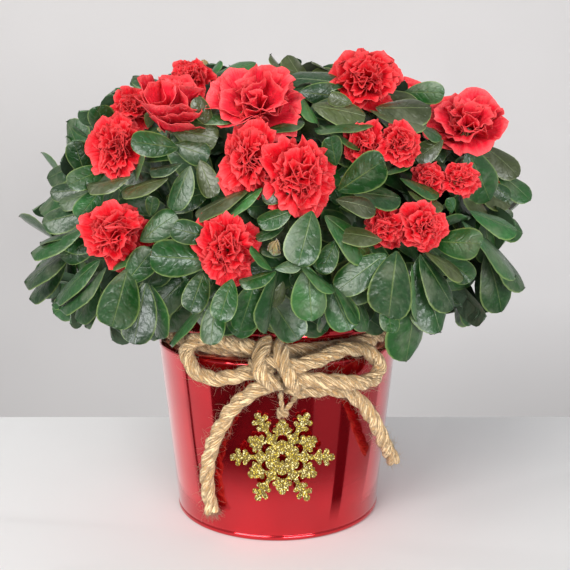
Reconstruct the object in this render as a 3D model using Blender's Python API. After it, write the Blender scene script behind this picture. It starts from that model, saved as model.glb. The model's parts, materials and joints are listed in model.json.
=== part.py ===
"""Potted azalea in a red metal pot, with a jute bow and a snowflake tag.

The origin is the middle of the pot's flat underside. +Z is up and the front faces -Y.
The pot, its root ball, the woody limbs, the masses of foliage and the trim are separate solids.
Every mass of foliage keeps to its own space, so that no two of them can touch.
"""
import math
import random

import bmesh
import bpy
from mathutils import Matrix, Vector
from mathutils.bvhtree import BVHTree

MM = 0.001
CLEAR = 0.3 * MM
UP = Vector((0.0, 0.0, 1.0))
GOLDEN_ANGLE = math.pi * (3.0 - math.sqrt(5.0))

# Finishes: colour, roughness and metallic value
RED_PAINT = ((0.62, 0.004, 0.015), 0.12, 0.0)
PEAT = ((0.035, 0.022, 0.014), 0.95, 0.0)
BARK = ((0.16, 0.10, 0.06), 0.85, 0.0)
LEAF_GREEN = ((0.035, 0.11, 0.045), 0.38, 0.0)
JUTE = ((0.56, 0.39, 0.20), 0.90, 0.0)
GOLD_GLITTER = ((0.62, 0.43, 0.08), 0.42, 0.6)

# Pot: a stamped and rolled metal cover pot
POT_FOOT_RADIUS = 63.8 * MM
POT_SHOULDER_RADIUS = 75.0 * MM
POT_SHOULDER_HEIGHT = 109.3 * MM
POT_NECK_RADIUS = 62.8 * MM
POT_COLLAR_RADIUS = 71.2 * MM
POT_COLLAR_HEIGHT = 120.3 * MM
POT_RIM_RADIUS = 68.0 * MM
POT_HEIGHT = 134.1 * MM
POT_BEAD_HEIGHT = 3.0 * MM
POT_WALL = 1.6 * MM
POT_STEPS = 34

# Root ball: it fills the pot to a little below the rim
SOIL_TOP = 122.0 * MM
SOIL_CROWN = 1.5 * MM
SOIL_FLAT_RADIUS = 22.0 * MM
SOIL_STEPS = POT_STEPS // 2

# Rope: the same jute rope makes the band, the bow and its tails
ROPE_RADIUS = 3.9 * MM
ROPE_SIDES = 6
BAND_RADIUS = 66.9 * MM
BAND_ROPE_RADIUS = 3.8 * MM
BAND_HEIGHT = 113.8 * MM
BAND_STEPS = 32
KNOT_CENTRE = Vector((2.0, -83.2, 109.0)) * MM
KNOT_SIZE = Vector((9.6, 6.6, 11.4)) * MM
KNOT_SEAT_CENTRE = Vector((2.0, -76.2, 114.3)) * MM
KNOT_SEAT_SIZE = Vector((7.0, 4.9, 4.2)) * MM
STRING_RADIUS = 1.5 * MM

# Snowflake tag: one flat plate that hangs in front of the pot
FLAKE_CENTRE = Vector((3.2, -72.9, 54.3)) * MM
FLAKE_THICKNESS = 1.6 * MM
FLAKE_ARMS = 6
FLAKE_HOLE_DISTANCE = 9.9 * MM
FLAKE_HOLE_RADIUS = 3.5 * MM
FLAKE_HOLE_OPENING = 72.0
FLAKE_LOBE_DISTANCE = 6.9 * MM
FLAKE_LOBE_RADIUS = 3.3 * MM
FLAKE_STAR_TIP = 4.3 * MM
FLAKE_STAR_NOTCH = 1.9 * MM

# Woody limbs: a short forked trunk inside the crown
TRUNK_BASE_RADIUS = 9.5 * MM
TRUNK_RADIUS = 6.4 * MM
TRUNK_FOOT = Vector((-1.0, 1.0, 0.0)) * MM
TRUNK_TOP = Vector((2.5, -1.5, 151.0)) * MM
TRUNK_FLARE_SHARE = 0.12
TRUNK_SIDES = 12
BOUGH_START_RADIUS = 2.7 * MM
BOUGH_TIP_RADIUS = 1.9 * MM
BOUGH_LOW_START = 136.5 * MM
BOUGH_HIGH_START = 144.5 * MM
BOUGH_SEAT = 0.65 * MM
BOUGH_SIDES = 6
TOP_BOUGH_OFFSET = 3.4 * MM

# Crown: a broad dome, wider than tall, that all the shoot tips lie on
CROWN_CENTRE = Vector((0.0, 0.0, 165.0)) * MM
CROWN_POWER = 2.5
SHOOT_SPREAD = 130.0 * MM
SHOOT_RISE = 99.0 * MM
SHOOT_DROP = 44.0 * MM
BLOOM_SPREAD = 142.0 * MM
BLOOM_RISE = 118.0 * MM
BLOOM_DROP = 75.0 * MM
SHOOT_COUNT = 100
SHOOT_LOWEST_SINE = -0.36
SHOOT_CROWDING = 0.82
SHOOT_JITTER = 4.0 * MM
SHOOT_SPACING_FROM_BLOOM = 15.0 * MM
SHOOT_BORDER_GAP = 8.0 * MM
SHOOT_DROOP_HEIGHT = 190.0 * MM
SHOOT_LIFT = 0.25
CROWN_SEED = 11

# Leaves: fewer than in life and a little larger, on three-sided twigs
LEAF_LENGTH = 42.0 * MM
LEAF_WIDTH = 27.0 * MM
LEAF_THICKNESS = 1.5 * MM
LEAF_WIDEST_SHARE = 0.58
LEAVES_PER_SHOOT = 4
LEAF_STEP = 2.6 * MM
LEAF_BELOW_TIP = 1.2 * MM
LEAF_PITCH = 50.0
LEAF_PITCH_AT_BLOOM = 78.0
LEAF_PITCH_STEP = 11.0
LEAF_DROOP = 0.12
LEAF_DROOP_IN_SKIRT = 0.75
LEAF_TRIES = 14
LEAF_TURN = math.radians(27.0)
TWIG_BASE_RADIUS = 1.7 * MM
TWIG_TIP_RADIUS = 1.0 * MM
TWIG_ROOT_DEPTH = 0.78
SPACE_MARGIN = 0.35 * MM
LIMB_MARGIN = 0.6 * MM
POT_KEEP_OUT_RADIUS = 76.2 * MM
BOW_KEEP_OUT_HEIGHT = 127.0 * MM
BOW_KEEP_OUT_ANGLE = math.radians(47.0)

# Masses of foliage: six round the crown and three on top, by their azimuth in degrees
RING_MASSES = {"front": 0, "front_right": 60, "back_right": 120,
               "back": 180, "back_left": 240, "front_left": 300}
TOP_MASSES = {"top_right": 60, "top_back": 180, "top_left": 300}
RING_SEAT = Vector((95.0, 172.0)) * MM
TOP_SEAT = Vector((44.0, 246.0)) * MM
RING_CORE = Vector((82.0, 172.5)) * MM
TOP_CORE = Vector((34.0, 229.0)) * MM
RING_CORE_SIZE = Vector((34.0, 38.5, 35.5)) * MM
TOP_CORE_SIZE = Vector((30.0, 28.5, 24.5)) * MM
STEM_RADIUS = 1.8 * MM
STEM_SINK = 14.0 * MM

# Blooms: azimuth from the front towards the right in degrees, elevation in degrees, width in mm
BLOOMS = (
    (-27, 46, 24), (-26, 35, 30), (-41, 35, 24), (-38, 25, 31), (-5, 39, 45), (28, 45, 40),
    (59, 33, 44), (23, 26, 33), (-5, 23, 30), (5, 17, 40), (38, 19, 32), (26, 10, 36),
    (-33, 8, 38), (-9, 6, 34),
    (92, 20, 38), (118, 44, 40), (126, 10, 36), (150, 27, 42), (178, 48, 40), (183, 12, 38),
    (205, 30, 40), (232, 9, 36), (240, 42, 38), (265, 24, 40), (60, 72, 38), (-80, 68, 38),
)
BLOOM_SIDES = 8
BLOOM_FOOT = 0.10
BLOOM_TOP = 1.05
BLOOM_SETBACK = 0.35

# A bloom's rings, as shares of its radius: distance from its axis, height and ruffle
BLOOM_RINGS = ((0.62, 0.0, 0.0), (1.0, 0.48, 0.13), (0.66, 0.98, -0.16))

# Rope routes: azimuth from the front in degrees, distance from the pot's axis and height in mm
LEFT_LOOP = (
    (-1, 83.5, 108.0), (-7, 82.5, 106.6), (-14.5, 81.5, 103.4), (-22.5, 81, 100.0),
    (-29.8, 81, 100.2), (-35.8, 80.5, 104.0), (-38.8, 80.5, 110.2), (-37.6, 80.3, 116.4),
    (-33, 80, 120.8), (-26, 80, 122.0), (-18.2, 80, 120.4), (-10, 81, 119.0), (-2, 83, 117.6),
)
RIGHT_LOOP = (
    (3, 86, 110.0), (9.5, 87, 111.0), (17, 85.5, 113.6), (25, 83, 116.0), (33.4, 81.8, 115.4),
    (40.4, 81.5, 111.2), (44.6, 82, 105.0), (43.8, 83, 99.6), (38.6, 84.5, 96.6),
    (31, 86, 97.2), (23.5, 87, 99.6), (15.6, 87, 101.4), (6, 86, 103.6),
)
LEFT_TAIL = (
    (2, 83, 100.5), (-5.7, 82.4, 97.2), (-12.3, 81, 91.0), (-18, 79.4, 83.0),
    (-23, 77.8, 73.2), (-27.6, 76.2, 62.4), (-31.4, 74.6, 49.8), (-33.6, 73, 38.4),
    (-33.8, 71.6, 26.6), (-32.4, 70.6, 16.0),
)
RIGHT_TAIL = (
    (4, 83.4, 98.0), (10, 81.6, 95.0), (17.6, 79.4, 94.4), (25, 79.1, 93.0), (31.6, 80.2, 89.2),
    (37.6, 81, 81.2), (43.6, 81.6, 69.6), (49.8, 81.2, 57.0), (55.6, 80.4, 47.4),
    (61.6, 79.8, 39.4),
)
LEFT_WRAP = (
    (-4.6, 82.0, 120.0), (-5.4, 87.0, 117.5), (-5.0, 89.6, 110.5), (-2.6, 88.2, 104.0),
    (-0.4, 84.5, 101.5),
)
RIGHT_WRAP = (
    (2.4, 83.0, 119.6), (2.4, 88.4, 116.0), (3.6, 90.2, 109.0), (6.2, 88.4, 102.0),
    (7.2, 84.5, 99.0),
)
STRING_LEFT = ((1.6, 76.8, 104.5), (1.6, 76.6, 96.0), (1.9, 76.3, 88.0), (2.7, 75.8, 81.0))
STRING_RIGHT = ((6.6, 76.9, 104.5), (8.0, 76.8, 96.0), (7.4, 76.4, 89.0), (2.7, 75.8, 81.0))
STRING_KNOT = (2.7, 75.6, 80.9)
STRING_KNOT_RADIUS = 3.4 * MM


def clear_scene():
    for existing in list(bpy.data.objects):
        bpy.data.objects.remove(existing, do_unlink=True)


def paint(name, colour, roughness, metallic):
    """One Principled material for one object."""
    made = bpy.data.materials.new(name)
    made.use_nodes = True
    shader = made.node_tree.nodes["Principled BSDF"]
    shader.inputs["Base Color"].default_value = (*colour, 1.0)
    shader.inputs["Roughness"].default_value = roughness
    shader.inputs["Metallic"].default_value = metallic
    return made


def place(name, mesh, finish, smooth=False):
    """Links a mesh as the object of one node."""
    mesh.name = name
    mesh.materials.clear()
    mesh.materials.append(paint(name + "_finish", *finish))
    if smooth:
        mesh.shade_smooth()
        mesh.set_sharp_from_angle(angle=math.radians(35.0))
    made = bpy.data.objects.new(name, mesh)
    bpy.context.collection.objects.link(made)
    return made


def polar(azimuth, distance, height):
    """A point from its azimuth in degrees, measured from the front, and its sizes in mm."""
    angle = math.radians(azimuth)
    return Vector((distance * math.sin(angle), -distance * math.cos(angle), height)) * MM


def mesh_from(bm):
    mesh = bpy.data.meshes.new("shape")
    bmesh.ops.recalc_face_normals(bm, faces=bm.faces[:])
    bm.to_mesh(mesh)
    bm.free()
    return mesh


def sweep(points, radii, sides, facing=None):
    """A closed tube along points, with a radius at each point and flat ends.

    Each ring is square to the route, or to the direction that facing gives.
    """
    bm = bmesh.new()
    count = len(points)
    tangents = []
    for index in range(count):
        before = points[max(index - 1, 0)]
        after = points[min(index + 1, count - 1)]
        tangents.append(facing or (after - before).normalized())
    side = tangents[0].orthogonal().normalized()
    rings = []
    for point, tangent, radius in zip(points, tangents, radii):
        side = (side - tangent * side.dot(tangent)).normalized()
        other = tangent.cross(side)
        ring = []
        for step in range(sides):
            angle = 2.0 * math.pi * step / sides
            outward = side * math.cos(angle) + other * math.sin(angle)
            ring.append(bm.verts.new(point + outward * radius))
        rings.append(ring)
    for ring, following in zip(rings, rings[1:]):
        for step in range(sides):
            after = (step + 1) % sides
            bm.faces.new((ring[step], ring[after], following[after], following[step]))
    bm.faces.new(rings[0][::-1])
    bm.faces.new(rings[-1])
    return mesh_from(bm)


def rope_tube(route, radius):
    return sweep([polar(*entry) for entry in route], [radius] * len(route), ROPE_SIDES)


def ellipsoid(centre, size, turn=0.0):
    bm = bmesh.new()
    bmesh.ops.create_icosphere(bm, subdivisions=2, radius=1.0)
    shape = Matrix.Translation(centre) @ Matrix.Rotation(turn, 4, "Z") @ Matrix.Diagonal((*size, 1.0))
    bm.transform(shape)
    return mesh_from(bm)


def outer_body(mesh):
    """Keeps the largest island of a mesh: loose scraps and sealed hollows are dropped."""
    bm = bmesh.new()
    bm.from_mesh(mesh)
    bmesh.ops.triangulate(bm, faces=bm.faces[:])
    islands = []
    waiting = set(bm.faces)
    while waiting:
        island = [waiting.pop()]
        for face in island:
            for edge in face.edges:
                for neighbour in edge.link_faces:
                    if neighbour in waiting:
                        waiting.remove(neighbour)
                        island.append(neighbour)
        islands.append(island)
    islands.sort(key=len)
    for island in islands[:-1]:
        bmesh.ops.delete(bm, geom=island, context="FACES")
    bm.to_mesh(mesh)
    bm.free()
    return mesh


def combine(base, others, operation):
    """One Boolean of a mesh with a collection of meshes, applied."""
    group = bpy.data.collections.new("operands")
    bpy.context.scene.collection.children.link(group)
    body = bpy.data.objects.new("body", base)
    bpy.context.scene.collection.objects.link(body)
    for mesh in others:
        group.objects.link(bpy.data.objects.new("operand", mesh))
    boolean = body.modifiers.new("Boolean", "BOOLEAN")
    boolean.operation = operation
    boolean.operand_type = "COLLECTION"
    boolean.collection = group
    boolean.solver = "EXACT"
    evaluated = body.evaluated_get(bpy.context.evaluated_depsgraph_get())
    result = bpy.data.meshes.new_from_object(evaluated)
    for used in (body, *group.objects):
        bpy.data.objects.remove(used, do_unlink=True)
    bpy.data.collections.remove(group)
    return outer_body(result)


def turned(name, profile, steps, finish):
    """A solid of revolution from a profile that runs up the inside and down the outside."""
    mesh = bpy.data.meshes.new(name)
    corners = [(radius, 0.0, height) for radius, height in profile]
    edges = [(index, index + 1) for index in range(len(corners) - 1)]
    mesh.from_pydata(corners, edges, [])
    made = place(name, mesh, finish)
    screw = made.modifiers.new("Screw", "SCREW")
    screw.angle = 2.0 * math.pi
    screw.steps = steps
    screw.render_steps = steps
    screw.use_merge_vertices = True
    screw.merge_threshold = 0.00001
    screw.use_smooth_shade = True
    return made


def pot_outside():
    """The pot's outer profile as radius and height, from the rim down to the foot."""
    bead = 1.0 * MM
    body_foot = POT_BEAD_HEIGHT + 0.4 * MM
    return [
        (POT_RIM_RADIUS, POT_HEIGHT),
        (POT_RIM_RADIUS + 0.7 * MM, POT_HEIGHT - 0.9 * MM),
        (POT_RIM_RADIUS + 1.6 * MM, POT_HEIGHT - 5.0 * MM),
        (POT_COLLAR_RADIUS - 0.8 * MM, POT_COLLAR_HEIGHT + 4.6 * MM),
        (POT_COLLAR_RADIUS, POT_COLLAR_HEIGHT + 0.8 * MM),
        (POT_COLLAR_RADIUS - 0.5 * MM, POT_COLLAR_HEIGHT),
        (POT_NECK_RADIUS, POT_COLLAR_HEIGHT - 0.6 * MM),
        (POT_NECK_RADIUS, POT_SHOULDER_HEIGHT + 0.2 * MM),
        (POT_SHOULDER_RADIUS - 2.4 * MM, POT_SHOULDER_HEIGHT),
        (POT_SHOULDER_RADIUS - 0.5 * MM, POT_SHOULDER_HEIGHT - 0.8 * MM),
        (POT_SHOULDER_RADIUS - 0.1 * MM, POT_SHOULDER_HEIGHT - 2.4 * MM),
        (POT_FOOT_RADIUS + bead * 0.4, body_foot),
        (POT_FOOT_RADIUS + bead * 0.2, POT_BEAD_HEIGHT - 0.4 * MM),
        (POT_FOOT_RADIUS + bead * 0.6, POT_BEAD_HEIGHT * 0.5),
        (POT_FOOT_RADIUS, 0.0),
    ]


def pot_inside(gap):
    """The pot's inner profile from the floor up, drawn in by a gap from the metal."""
    inset = POT_WALL + gap
    below_ledge = POT_SHOULDER_HEIGHT - inset
    above_neck = POT_COLLAR_HEIGHT - 0.6 * MM + inset
    return [
        (POT_FOOT_RADIUS - inset, inset),
        (POT_SHOULDER_RADIUS - inset, below_ledge - 3.0 * MM),
        (POT_SHOULDER_RADIUS - inset - 2.0 * MM, below_ledge),
        (POT_NECK_RADIUS - inset, below_ledge + 0.4 * MM),
        (POT_NECK_RADIUS - inset, above_neck),
    ]


def make_pot():
    rim_inside = [
        (POT_COLLAR_RADIUS - POT_WALL - 0.6 * MM, POT_COLLAR_HEIGHT + 1.6 * MM),
        (POT_RIM_RADIUS - POT_WALL, POT_HEIGHT - 1.0 * MM),
    ]
    inside = [(0.0, POT_WALL), *pot_inside(0.0), *rim_inside]
    turned("pot", [*inside, *pot_outside(), (0.0, 0.0)], POT_STEPS, RED_PAINT)


def make_soil():
    walls = pot_inside(CLEAR)
    edge = (POT_NECK_RADIUS - POT_WALL - CLEAR, SOIL_TOP - SOIL_CROWN)
    top = [edge, (SOIL_FLAT_RADIUS, SOIL_TOP), (0.0, SOIL_TOP)]
    outline = [(0.0, walls[0][1]), *walls[:-1], *top]
    turned("soil", outline[::-1], SOIL_STEPS, PEAT)


def trunk_middle(height):
    """The trunk's centre line at a height: upright at the flare, then leaning to the fork."""
    base = SOIL_TOP + CLEAR
    share = (height - base) / (TRUNK_TOP.z - base)
    lean = max(share - TRUNK_FLARE_SHARE, 0.0) / (1.0 - TRUNK_FLARE_SHARE)
    flat = TRUNK_FOOT.lerp(Vector((TRUNK_TOP.x, TRUNK_TOP.y, 0.0)), lean)
    return flat + UP * height


def make_trunk():
    base = SOIL_TOP + CLEAR
    stations = ((0.0, TRUNK_BASE_RADIUS), (TRUNK_FLARE_SHARE, TRUNK_RADIUS * 1.2),
                (0.35, TRUNK_RADIUS * 1.04), (0.7, TRUNK_RADIUS), (1.0, TRUNK_RADIUS * 0.94))
    points = [trunk_middle(base + (TRUNK_TOP.z - base) * share) for share, _ in stations]
    mesh = sweep(points, [radius for _, radius in stations], TRUNK_SIDES, facing=UP)
    place("trunk", mesh, BARK, smooth=True)


def toward(azimuth):
    """The level direction of an azimuth in degrees from the front."""
    angle = math.radians(azimuth)
    return Vector((math.sin(angle), -math.cos(angle), 0.0))


def bough_routes():
    """The centre line and radii of every bough, by the name of its mass."""
    routes = {}
    swelling = [BOUGH_START_RADIUS, BOUGH_START_RADIUS * 0.98,
                (BOUGH_START_RADIUS + BOUGH_TIP_RADIUS) / 2.0, BOUGH_TIP_RADIUS]
    for index, (name, azimuth) in enumerate(RING_MASSES.items()):
        outward = toward(azimuth)
        start_height = BOUGH_LOW_START if index % 2 else BOUGH_HIGH_START
        start = trunk_middle(start_height) + outward * (TRUNK_RADIUS + BOUGH_SEAT)
        tip = outward * (RING_CORE.x - RING_CORE_SIZE.x - 1.2 * MM) + UP * (RING_CORE.y - 8.0 * MM)
        sag = start.lerp(tip, 0.5) - UP * 4.0 * MM
        routes[name] = ([start, start + outward * 5.0 * MM, sag, tip], swelling)
    for name, azimuth in TOP_MASSES.items():
        outward = toward(azimuth)
        start = TRUNK_TOP + outward * TOP_BOUGH_OFFSET + UP * (CLEAR + 0.2 * MM)
        tip = outward * (TOP_CORE.x - 9.0 * MM) + UP * (TOP_CORE.y - TOP_CORE_SIZE.z - 1.5 * MM)
        bend = start.lerp(tip, 0.5) + outward * 3.0 * MM
        routes[name] = ([start, start + UP * 6.0 * MM, bend, tip], swelling)
    return routes


def make_boughs(routes):
    for name, (points, radii) in routes.items():
        place("bough_" + name, sweep(points, radii, BOUGH_SIDES), BARK, smooth=True)


def mass_seats():
    """The point that each mass's space is nearest to."""
    seats = {}
    for masses, middle in ((RING_MASSES, RING_SEAT), (TOP_MASSES, TOP_SEAT)):
        for name, azimuth in masses.items():
            seats[name] = toward(azimuth) * middle.x + UP * middle.y
    return seats


def mass_core(name):
    """A core's centre, size and turn about the vertical."""
    ring = name in RING_MASSES
    azimuth = RING_MASSES[name] if ring else TOP_MASSES[name]
    middle = RING_CORE if ring else TOP_CORE
    size = RING_CORE_SIZE if ring else TOP_CORE_SIZE
    centre = toward(azimuth) * middle.x + UP * middle.y
    return centre, size, math.radians(azimuth - 90.0)


def dome_point(azimuth, elevation, spread, rise, drop):
    """The point of a flattened dome in a direction, in degrees, from the crown's centre."""
    flat = math.cos(math.radians(elevation))
    height = math.sin(math.radians(elevation))
    reach = rise if height > 0.0 else drop
    share = (flat / spread) ** CROWN_POWER + (abs(height) / reach) ** CROWN_POWER
    return CROWN_CENTRE + (toward(azimuth) * flat + UP * height) * share ** (-1.0 / CROWN_POWER)


def dome_normal(point, spread, rise, drop):
    offset = point - CROWN_CENTRE
    flat = Vector((offset.x, offset.y, 0.0))
    reach = rise if offset.z > 0.0 else drop
    power = CROWN_POWER - 1.0
    steepness = (abs(offset.z) / reach) ** power / reach
    outward = (flat.length / spread) ** power / spread
    return (flat.normalized() * outward + UP * math.copysign(steepness, offset.z)).normalized()


def growth_direction(point):
    """Shoots point outwards, and a little more upwards than the dome's surface does."""
    normal = dome_normal(point, SHOOT_SPREAD, SHOOT_RISE, SHOOT_DROP * 2.0)
    return (normal + UP * SHOOT_LIFT).normalized()


def shoot_list():
    """Every shoot as its tip, its direction and the width of its bloom, or no width."""
    rng = random.Random(CROWN_SEED)
    shoots = []
    for azimuth, elevation, width in BLOOMS:
        centre = dome_point(azimuth, elevation, BLOOM_SPREAD, BLOOM_RISE, BLOOM_DROP)
        direction = growth_direction(centre)
        shoots.append((centre - direction * width * BLOOM_SETBACK * MM, direction, width * MM))
    blooming = [tip for tip, _, _ in shoots]
    for index in range(SHOOT_COUNT):
        share = ((index + 0.5) / SHOOT_COUNT) ** SHOOT_CROWDING
        sine = 1.0 - share * (1.0 - SHOOT_LOWEST_SINE)
        azimuth = math.degrees(index * GOLDEN_ANGLE)
        elevation = math.degrees(math.asin(sine))
        tip = dome_point(azimuth, elevation, SHOOT_SPREAD, SHOOT_RISE, SHOOT_DROP)
        tip += Vector([rng.uniform(-SHOOT_JITTER, SHOOT_JITTER) for _ in range(3)])
        if min((tip - other).length for other in blooming) > SHOOT_SPACING_FROM_BLOOM:
            shoots.append((tip, growth_direction(tip), None))
    return shoots


def keep_from_borders(tip, seat, others, gap):
    """Moves a shoot's tip back from its mass's borders, so that its leaves have room."""
    for other in others:
        border = (seat + other) / 2.0
        away = (other - seat).normalized()
        excess = (tip - border).dot(away) + gap
        if excess > 0.0:
            tip = tip - away * excess
    return tip


def in_space(points, seat, others):
    """Whether points lie on a mass's side of every border with its neighbours."""
    for other in others:
        border = (seat + other) / 2.0
        away = (other - seat).normalized()
        if any((point - border).dot(away) > -SPACE_MARGIN for point in points):
            return False
    return True


def clear_of_limbs(points, limbs):
    for line, radii in limbs:
        for start, end, radius in zip(line, line[1:], radii):
            along = end - start
            for point in points:
                share = min(max((point - start).dot(along) / along.length_squared, 0.0), 1.0)
                if (point - start - along * share).length < radius + LIMB_MARGIN:
                    return False
    return True


def clear_of_pot(points):
    for point in points:
        distance = math.hypot(point.x, point.y)
        if point.z < POT_HEIGHT + LIMB_MARGIN and distance < POT_KEEP_OUT_RADIUS:
            return False
        beside = abs(math.atan2(point.x, -point.y)) < BOW_KEEP_OUT_ANGLE
        if beside and point.z < BOW_KEEP_OUT_HEIGHT:
            return False
    return True


def leaf_corners(base, direction, face, length):
    """A leaf's six corners: root, tip, two edges, upper and lower face."""
    side = direction.cross(face).normalized()
    widest = base + direction * length * LEAF_WIDEST_SHARE
    half_width = LEAF_WIDTH / 2.0 * length / LEAF_LENGTH
    lift = face * LEAF_THICKNESS / 2.0
    return [base, base + direction * length, widest + side * half_width, widest - side * half_width,
            widest + lift, widest - lift]


def leaf_mesh(corners):
    bm = bmesh.new()
    root, tip, left, right, upper, lower = [bm.verts.new(corner) for corner in corners]
    outline = (root, left, tip, right)
    for first, second in zip(outline, outline[1:] + outline[:1]):
        bm.faces.new((first, second, upper))
        bm.faces.new((second, first, lower))
    return mesh_from(bm)


def test_points(corners):
    """Points over a leaf's outline and middle, for the tests against its surroundings."""
    root, tip, left, right = corners[:4]
    between = [root.lerp(tip, share) for share in (0.25, 0.5, 0.75)]
    edges = [end.lerp(side, 0.5) for end in (root, tip) for side in (left, right)]
    return [*corners[1:], *between[1:], *edges]


def leaf_direction(shoot_direction, around, pitch, droop):
    side = shoot_direction.orthogonal().normalized()
    other = shoot_direction.cross(side)
    spread = side * math.cos(around) + other * math.sin(around)
    return (shoot_direction * math.cos(pitch) + spread * math.sin(pitch) - UP * droop).normalized()


def mesh_tree(mesh):
    return BVHTree.FromPolygons([corner.co for corner in mesh.vertices],
                                [face.vertices[:] for face in mesh.polygons])


def blade_tree(corners):
    """A leaf's flat blade without its root, for the test against the other leaves."""
    root, tip, left, right = corners[:4]
    near = [root.lerp(side, 0.45) for side in (left, right)]
    return BVHTree.FromPolygons([near[0], left, tip, right, near[1]], [(0, 1, 2, 3, 4)])


def shoot_leaves(start, tip, direction, width, rng, fits, blades):
    """The leaves of one shoot in a spiral. A leaf that doesn't fit is turned, then skipped."""
    meshes = []
    below = (start - tip).normalized()
    first = LEAF_BELOW_TIP + (width or 0.0) * BLOOM_FOOT
    opening = LEAF_PITCH_AT_BLOOM if width else LEAF_PITCH
    around = rng.uniform(0.0, 2.0 * math.pi)
    lowness = min(max((SHOOT_DROOP_HEIGHT - tip.z) / SHOOT_DROP, 0.0), 1.0)
    for index in range(LEAVES_PER_SHOOT):
        base = tip + below * (first + LEAF_STEP * index)
        pitch = math.radians(opening + LEAF_PITCH_STEP * index + rng.uniform(-8.0, 8.0))
        length = LEAF_LENGTH * rng.uniform(0.88, 1.08)
        droop = LEAF_DROOP + LEAF_DROOP_IN_SKIRT * lowness
        around += GOLDEN_ANGLE
        for attempt in range(LEAF_TRIES):
            pointing = leaf_direction(direction, around + attempt * LEAF_TURN, pitch, droop)
            face = (direction - pointing * direction.dot(pointing)).normalized()
            corners = leaf_corners(base, pointing, face, length * (1.0 - 0.02 * attempt))
            blade = blade_tree(corners)
            if fits(test_points(corners)) and not any(blade.overlap(other) for other in blades):
                meshes.append(leaf_mesh(corners))
                blades.append(blade)
                break
    return meshes


def bloom_mesh(tip, direction, width, rng):
    """A ruffled double bloom as a lobed, faceted mound on its stalk."""
    radius = width / 2.0
    side = direction.orthogonal().normalized()
    other = direction.cross(side)
    turn = rng.uniform(0.0, math.pi)
    bm = bmesh.new()
    base = bm.verts.new(tip - direction * width * BLOOM_FOOT)
    loops = []
    for share, height, ruffle in BLOOM_RINGS:
        loop = []
        for step in range(BLOOM_SIDES):
            angle = turn + 2.0 * math.pi * step / BLOOM_SIDES
            wave = 1.0 + ruffle * (1.0 if step % 2 else -1.0)
            outward = side * math.cos(angle) + other * math.sin(angle)
            loop.append(bm.verts.new(tip + (outward * share * wave + direction * height) * radius))
        loops.append(loop)
    top = bm.verts.new(tip + direction * radius * BLOOM_TOP)
    for step in range(BLOOM_SIDES):
        after = (step + 1) % BLOOM_SIDES
        bm.faces.new((base, loops[0][after], loops[0][step]))
        bm.faces.new((top, loops[-1][step], loops[-1][after]))
        for lower, upper in zip(loops, loops[1:]):
            bm.faces.new((lower[step], lower[after], upper[after], upper[step]))
    return mesh_from(bm)


def inside_core(centre, size, turn, tip):
    """The point a little under a core's surface that faces a shoot's tip."""
    offset = tip - centre
    level = Matrix.Rotation(-turn, 3, "Z") @ offset
    depth = Vector((level.x / size.x, level.y / size.y, level.z / size.z)).length
    return centre + offset * TWIG_ROOT_DEPTH / depth


def twig_mesh(start, tip):
    """A three-sided twig that tapers to its shoot's tip."""
    return sweep([start, tip], [TWIG_BASE_RADIUS, TWIG_TIP_RADIUS], 3)


def make_mass(name, shoots, seats, limbs, own_bough):
    """One mass: a core on its stem, twigs out of the core, and their leaves and blooms."""
    rng = random.Random(name)
    centre, size, turn = mass_core(name)
    seat = seats[name]
    others = [spot for other, spot in seats.items() if other != name]

    def fits(points):
        return in_space(points, seat, others) and clear_of_limbs(points, limbs) and clear_of_pot(points)

    line, _ = own_bough
    heading = (line[-1] - line[-2]).normalized()
    root = line[-1] + heading * CLEAR
    parts = [sweep([root, root + heading * STEM_SINK], [STEM_RADIUS, STEM_RADIUS], BOUGH_SIDES)]
    core = ellipsoid(centre, size, turn)
    blades = [mesh_tree(core)]
    own = []
    for tip, direction, width in shoots:
        if min(seats, key=lambda spot: (tip - seats[spot]).length) != name:
            continue
        tip = keep_from_borders(tip, seat, others, TWIG_BASE_RADIUS if width else SHOOT_BORDER_GAP)
        if not fits([tip]):
            continue
        start = inside_core(centre, size, turn, tip)
        grown = [twig_mesh(start, tip)]
        if width is not None:
            bloom = bloom_mesh(tip, direction, width, rng)
            if fits([corner.co for corner in bloom.vertices]):
                grown.append(bloom)
        parts.extend(grown)
        blades.extend(mesh_tree(mesh) for mesh in grown)
        own.append((start, tip, direction, width))
    for start, tip, direction, width in own:
        parts.extend(shoot_leaves(start, tip, direction, width, rng, fits, blades))
    mesh = combine(core, parts, "UNION")
    place("foliage_" + name, mesh, LEAF_GREEN)


def knot_parts(extra):
    """The knot's lump, its seat in the groove and its two wraps, all grown by extra."""
    reach = Vector((extra, extra, extra))
    lump = ellipsoid(KNOT_CENTRE, KNOT_SIZE + reach)
    seat = ellipsoid(KNOT_SEAT_CENTRE, KNOT_SEAT_SIZE + reach)
    wraps = [rope_tube(route, ROPE_RADIUS + extra) for route in (LEFT_WRAP, RIGHT_WRAP)]
    return [lump, seat, *wraps]


def make_rope():
    place("rope_band", band_mesh(), JUTE, smooth=True)
    knot = knot_parts(0.0)
    place("bow_knot", combine(knot[0], knot[1:], "UNION"), JUTE, smooth=True)
    strands = (("bow_loop_left", LEFT_LOOP), ("bow_loop_right", RIGHT_LOOP),
               ("rope_tail_left", LEFT_TAIL), ("rope_tail_right", RIGHT_TAIL))
    for name, route in strands:
        strand = combine(rope_tube(route, ROPE_RADIUS), knot_parts(CLEAR), "DIFFERENCE")
        place(name, strand, JUTE, smooth=True)


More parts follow.
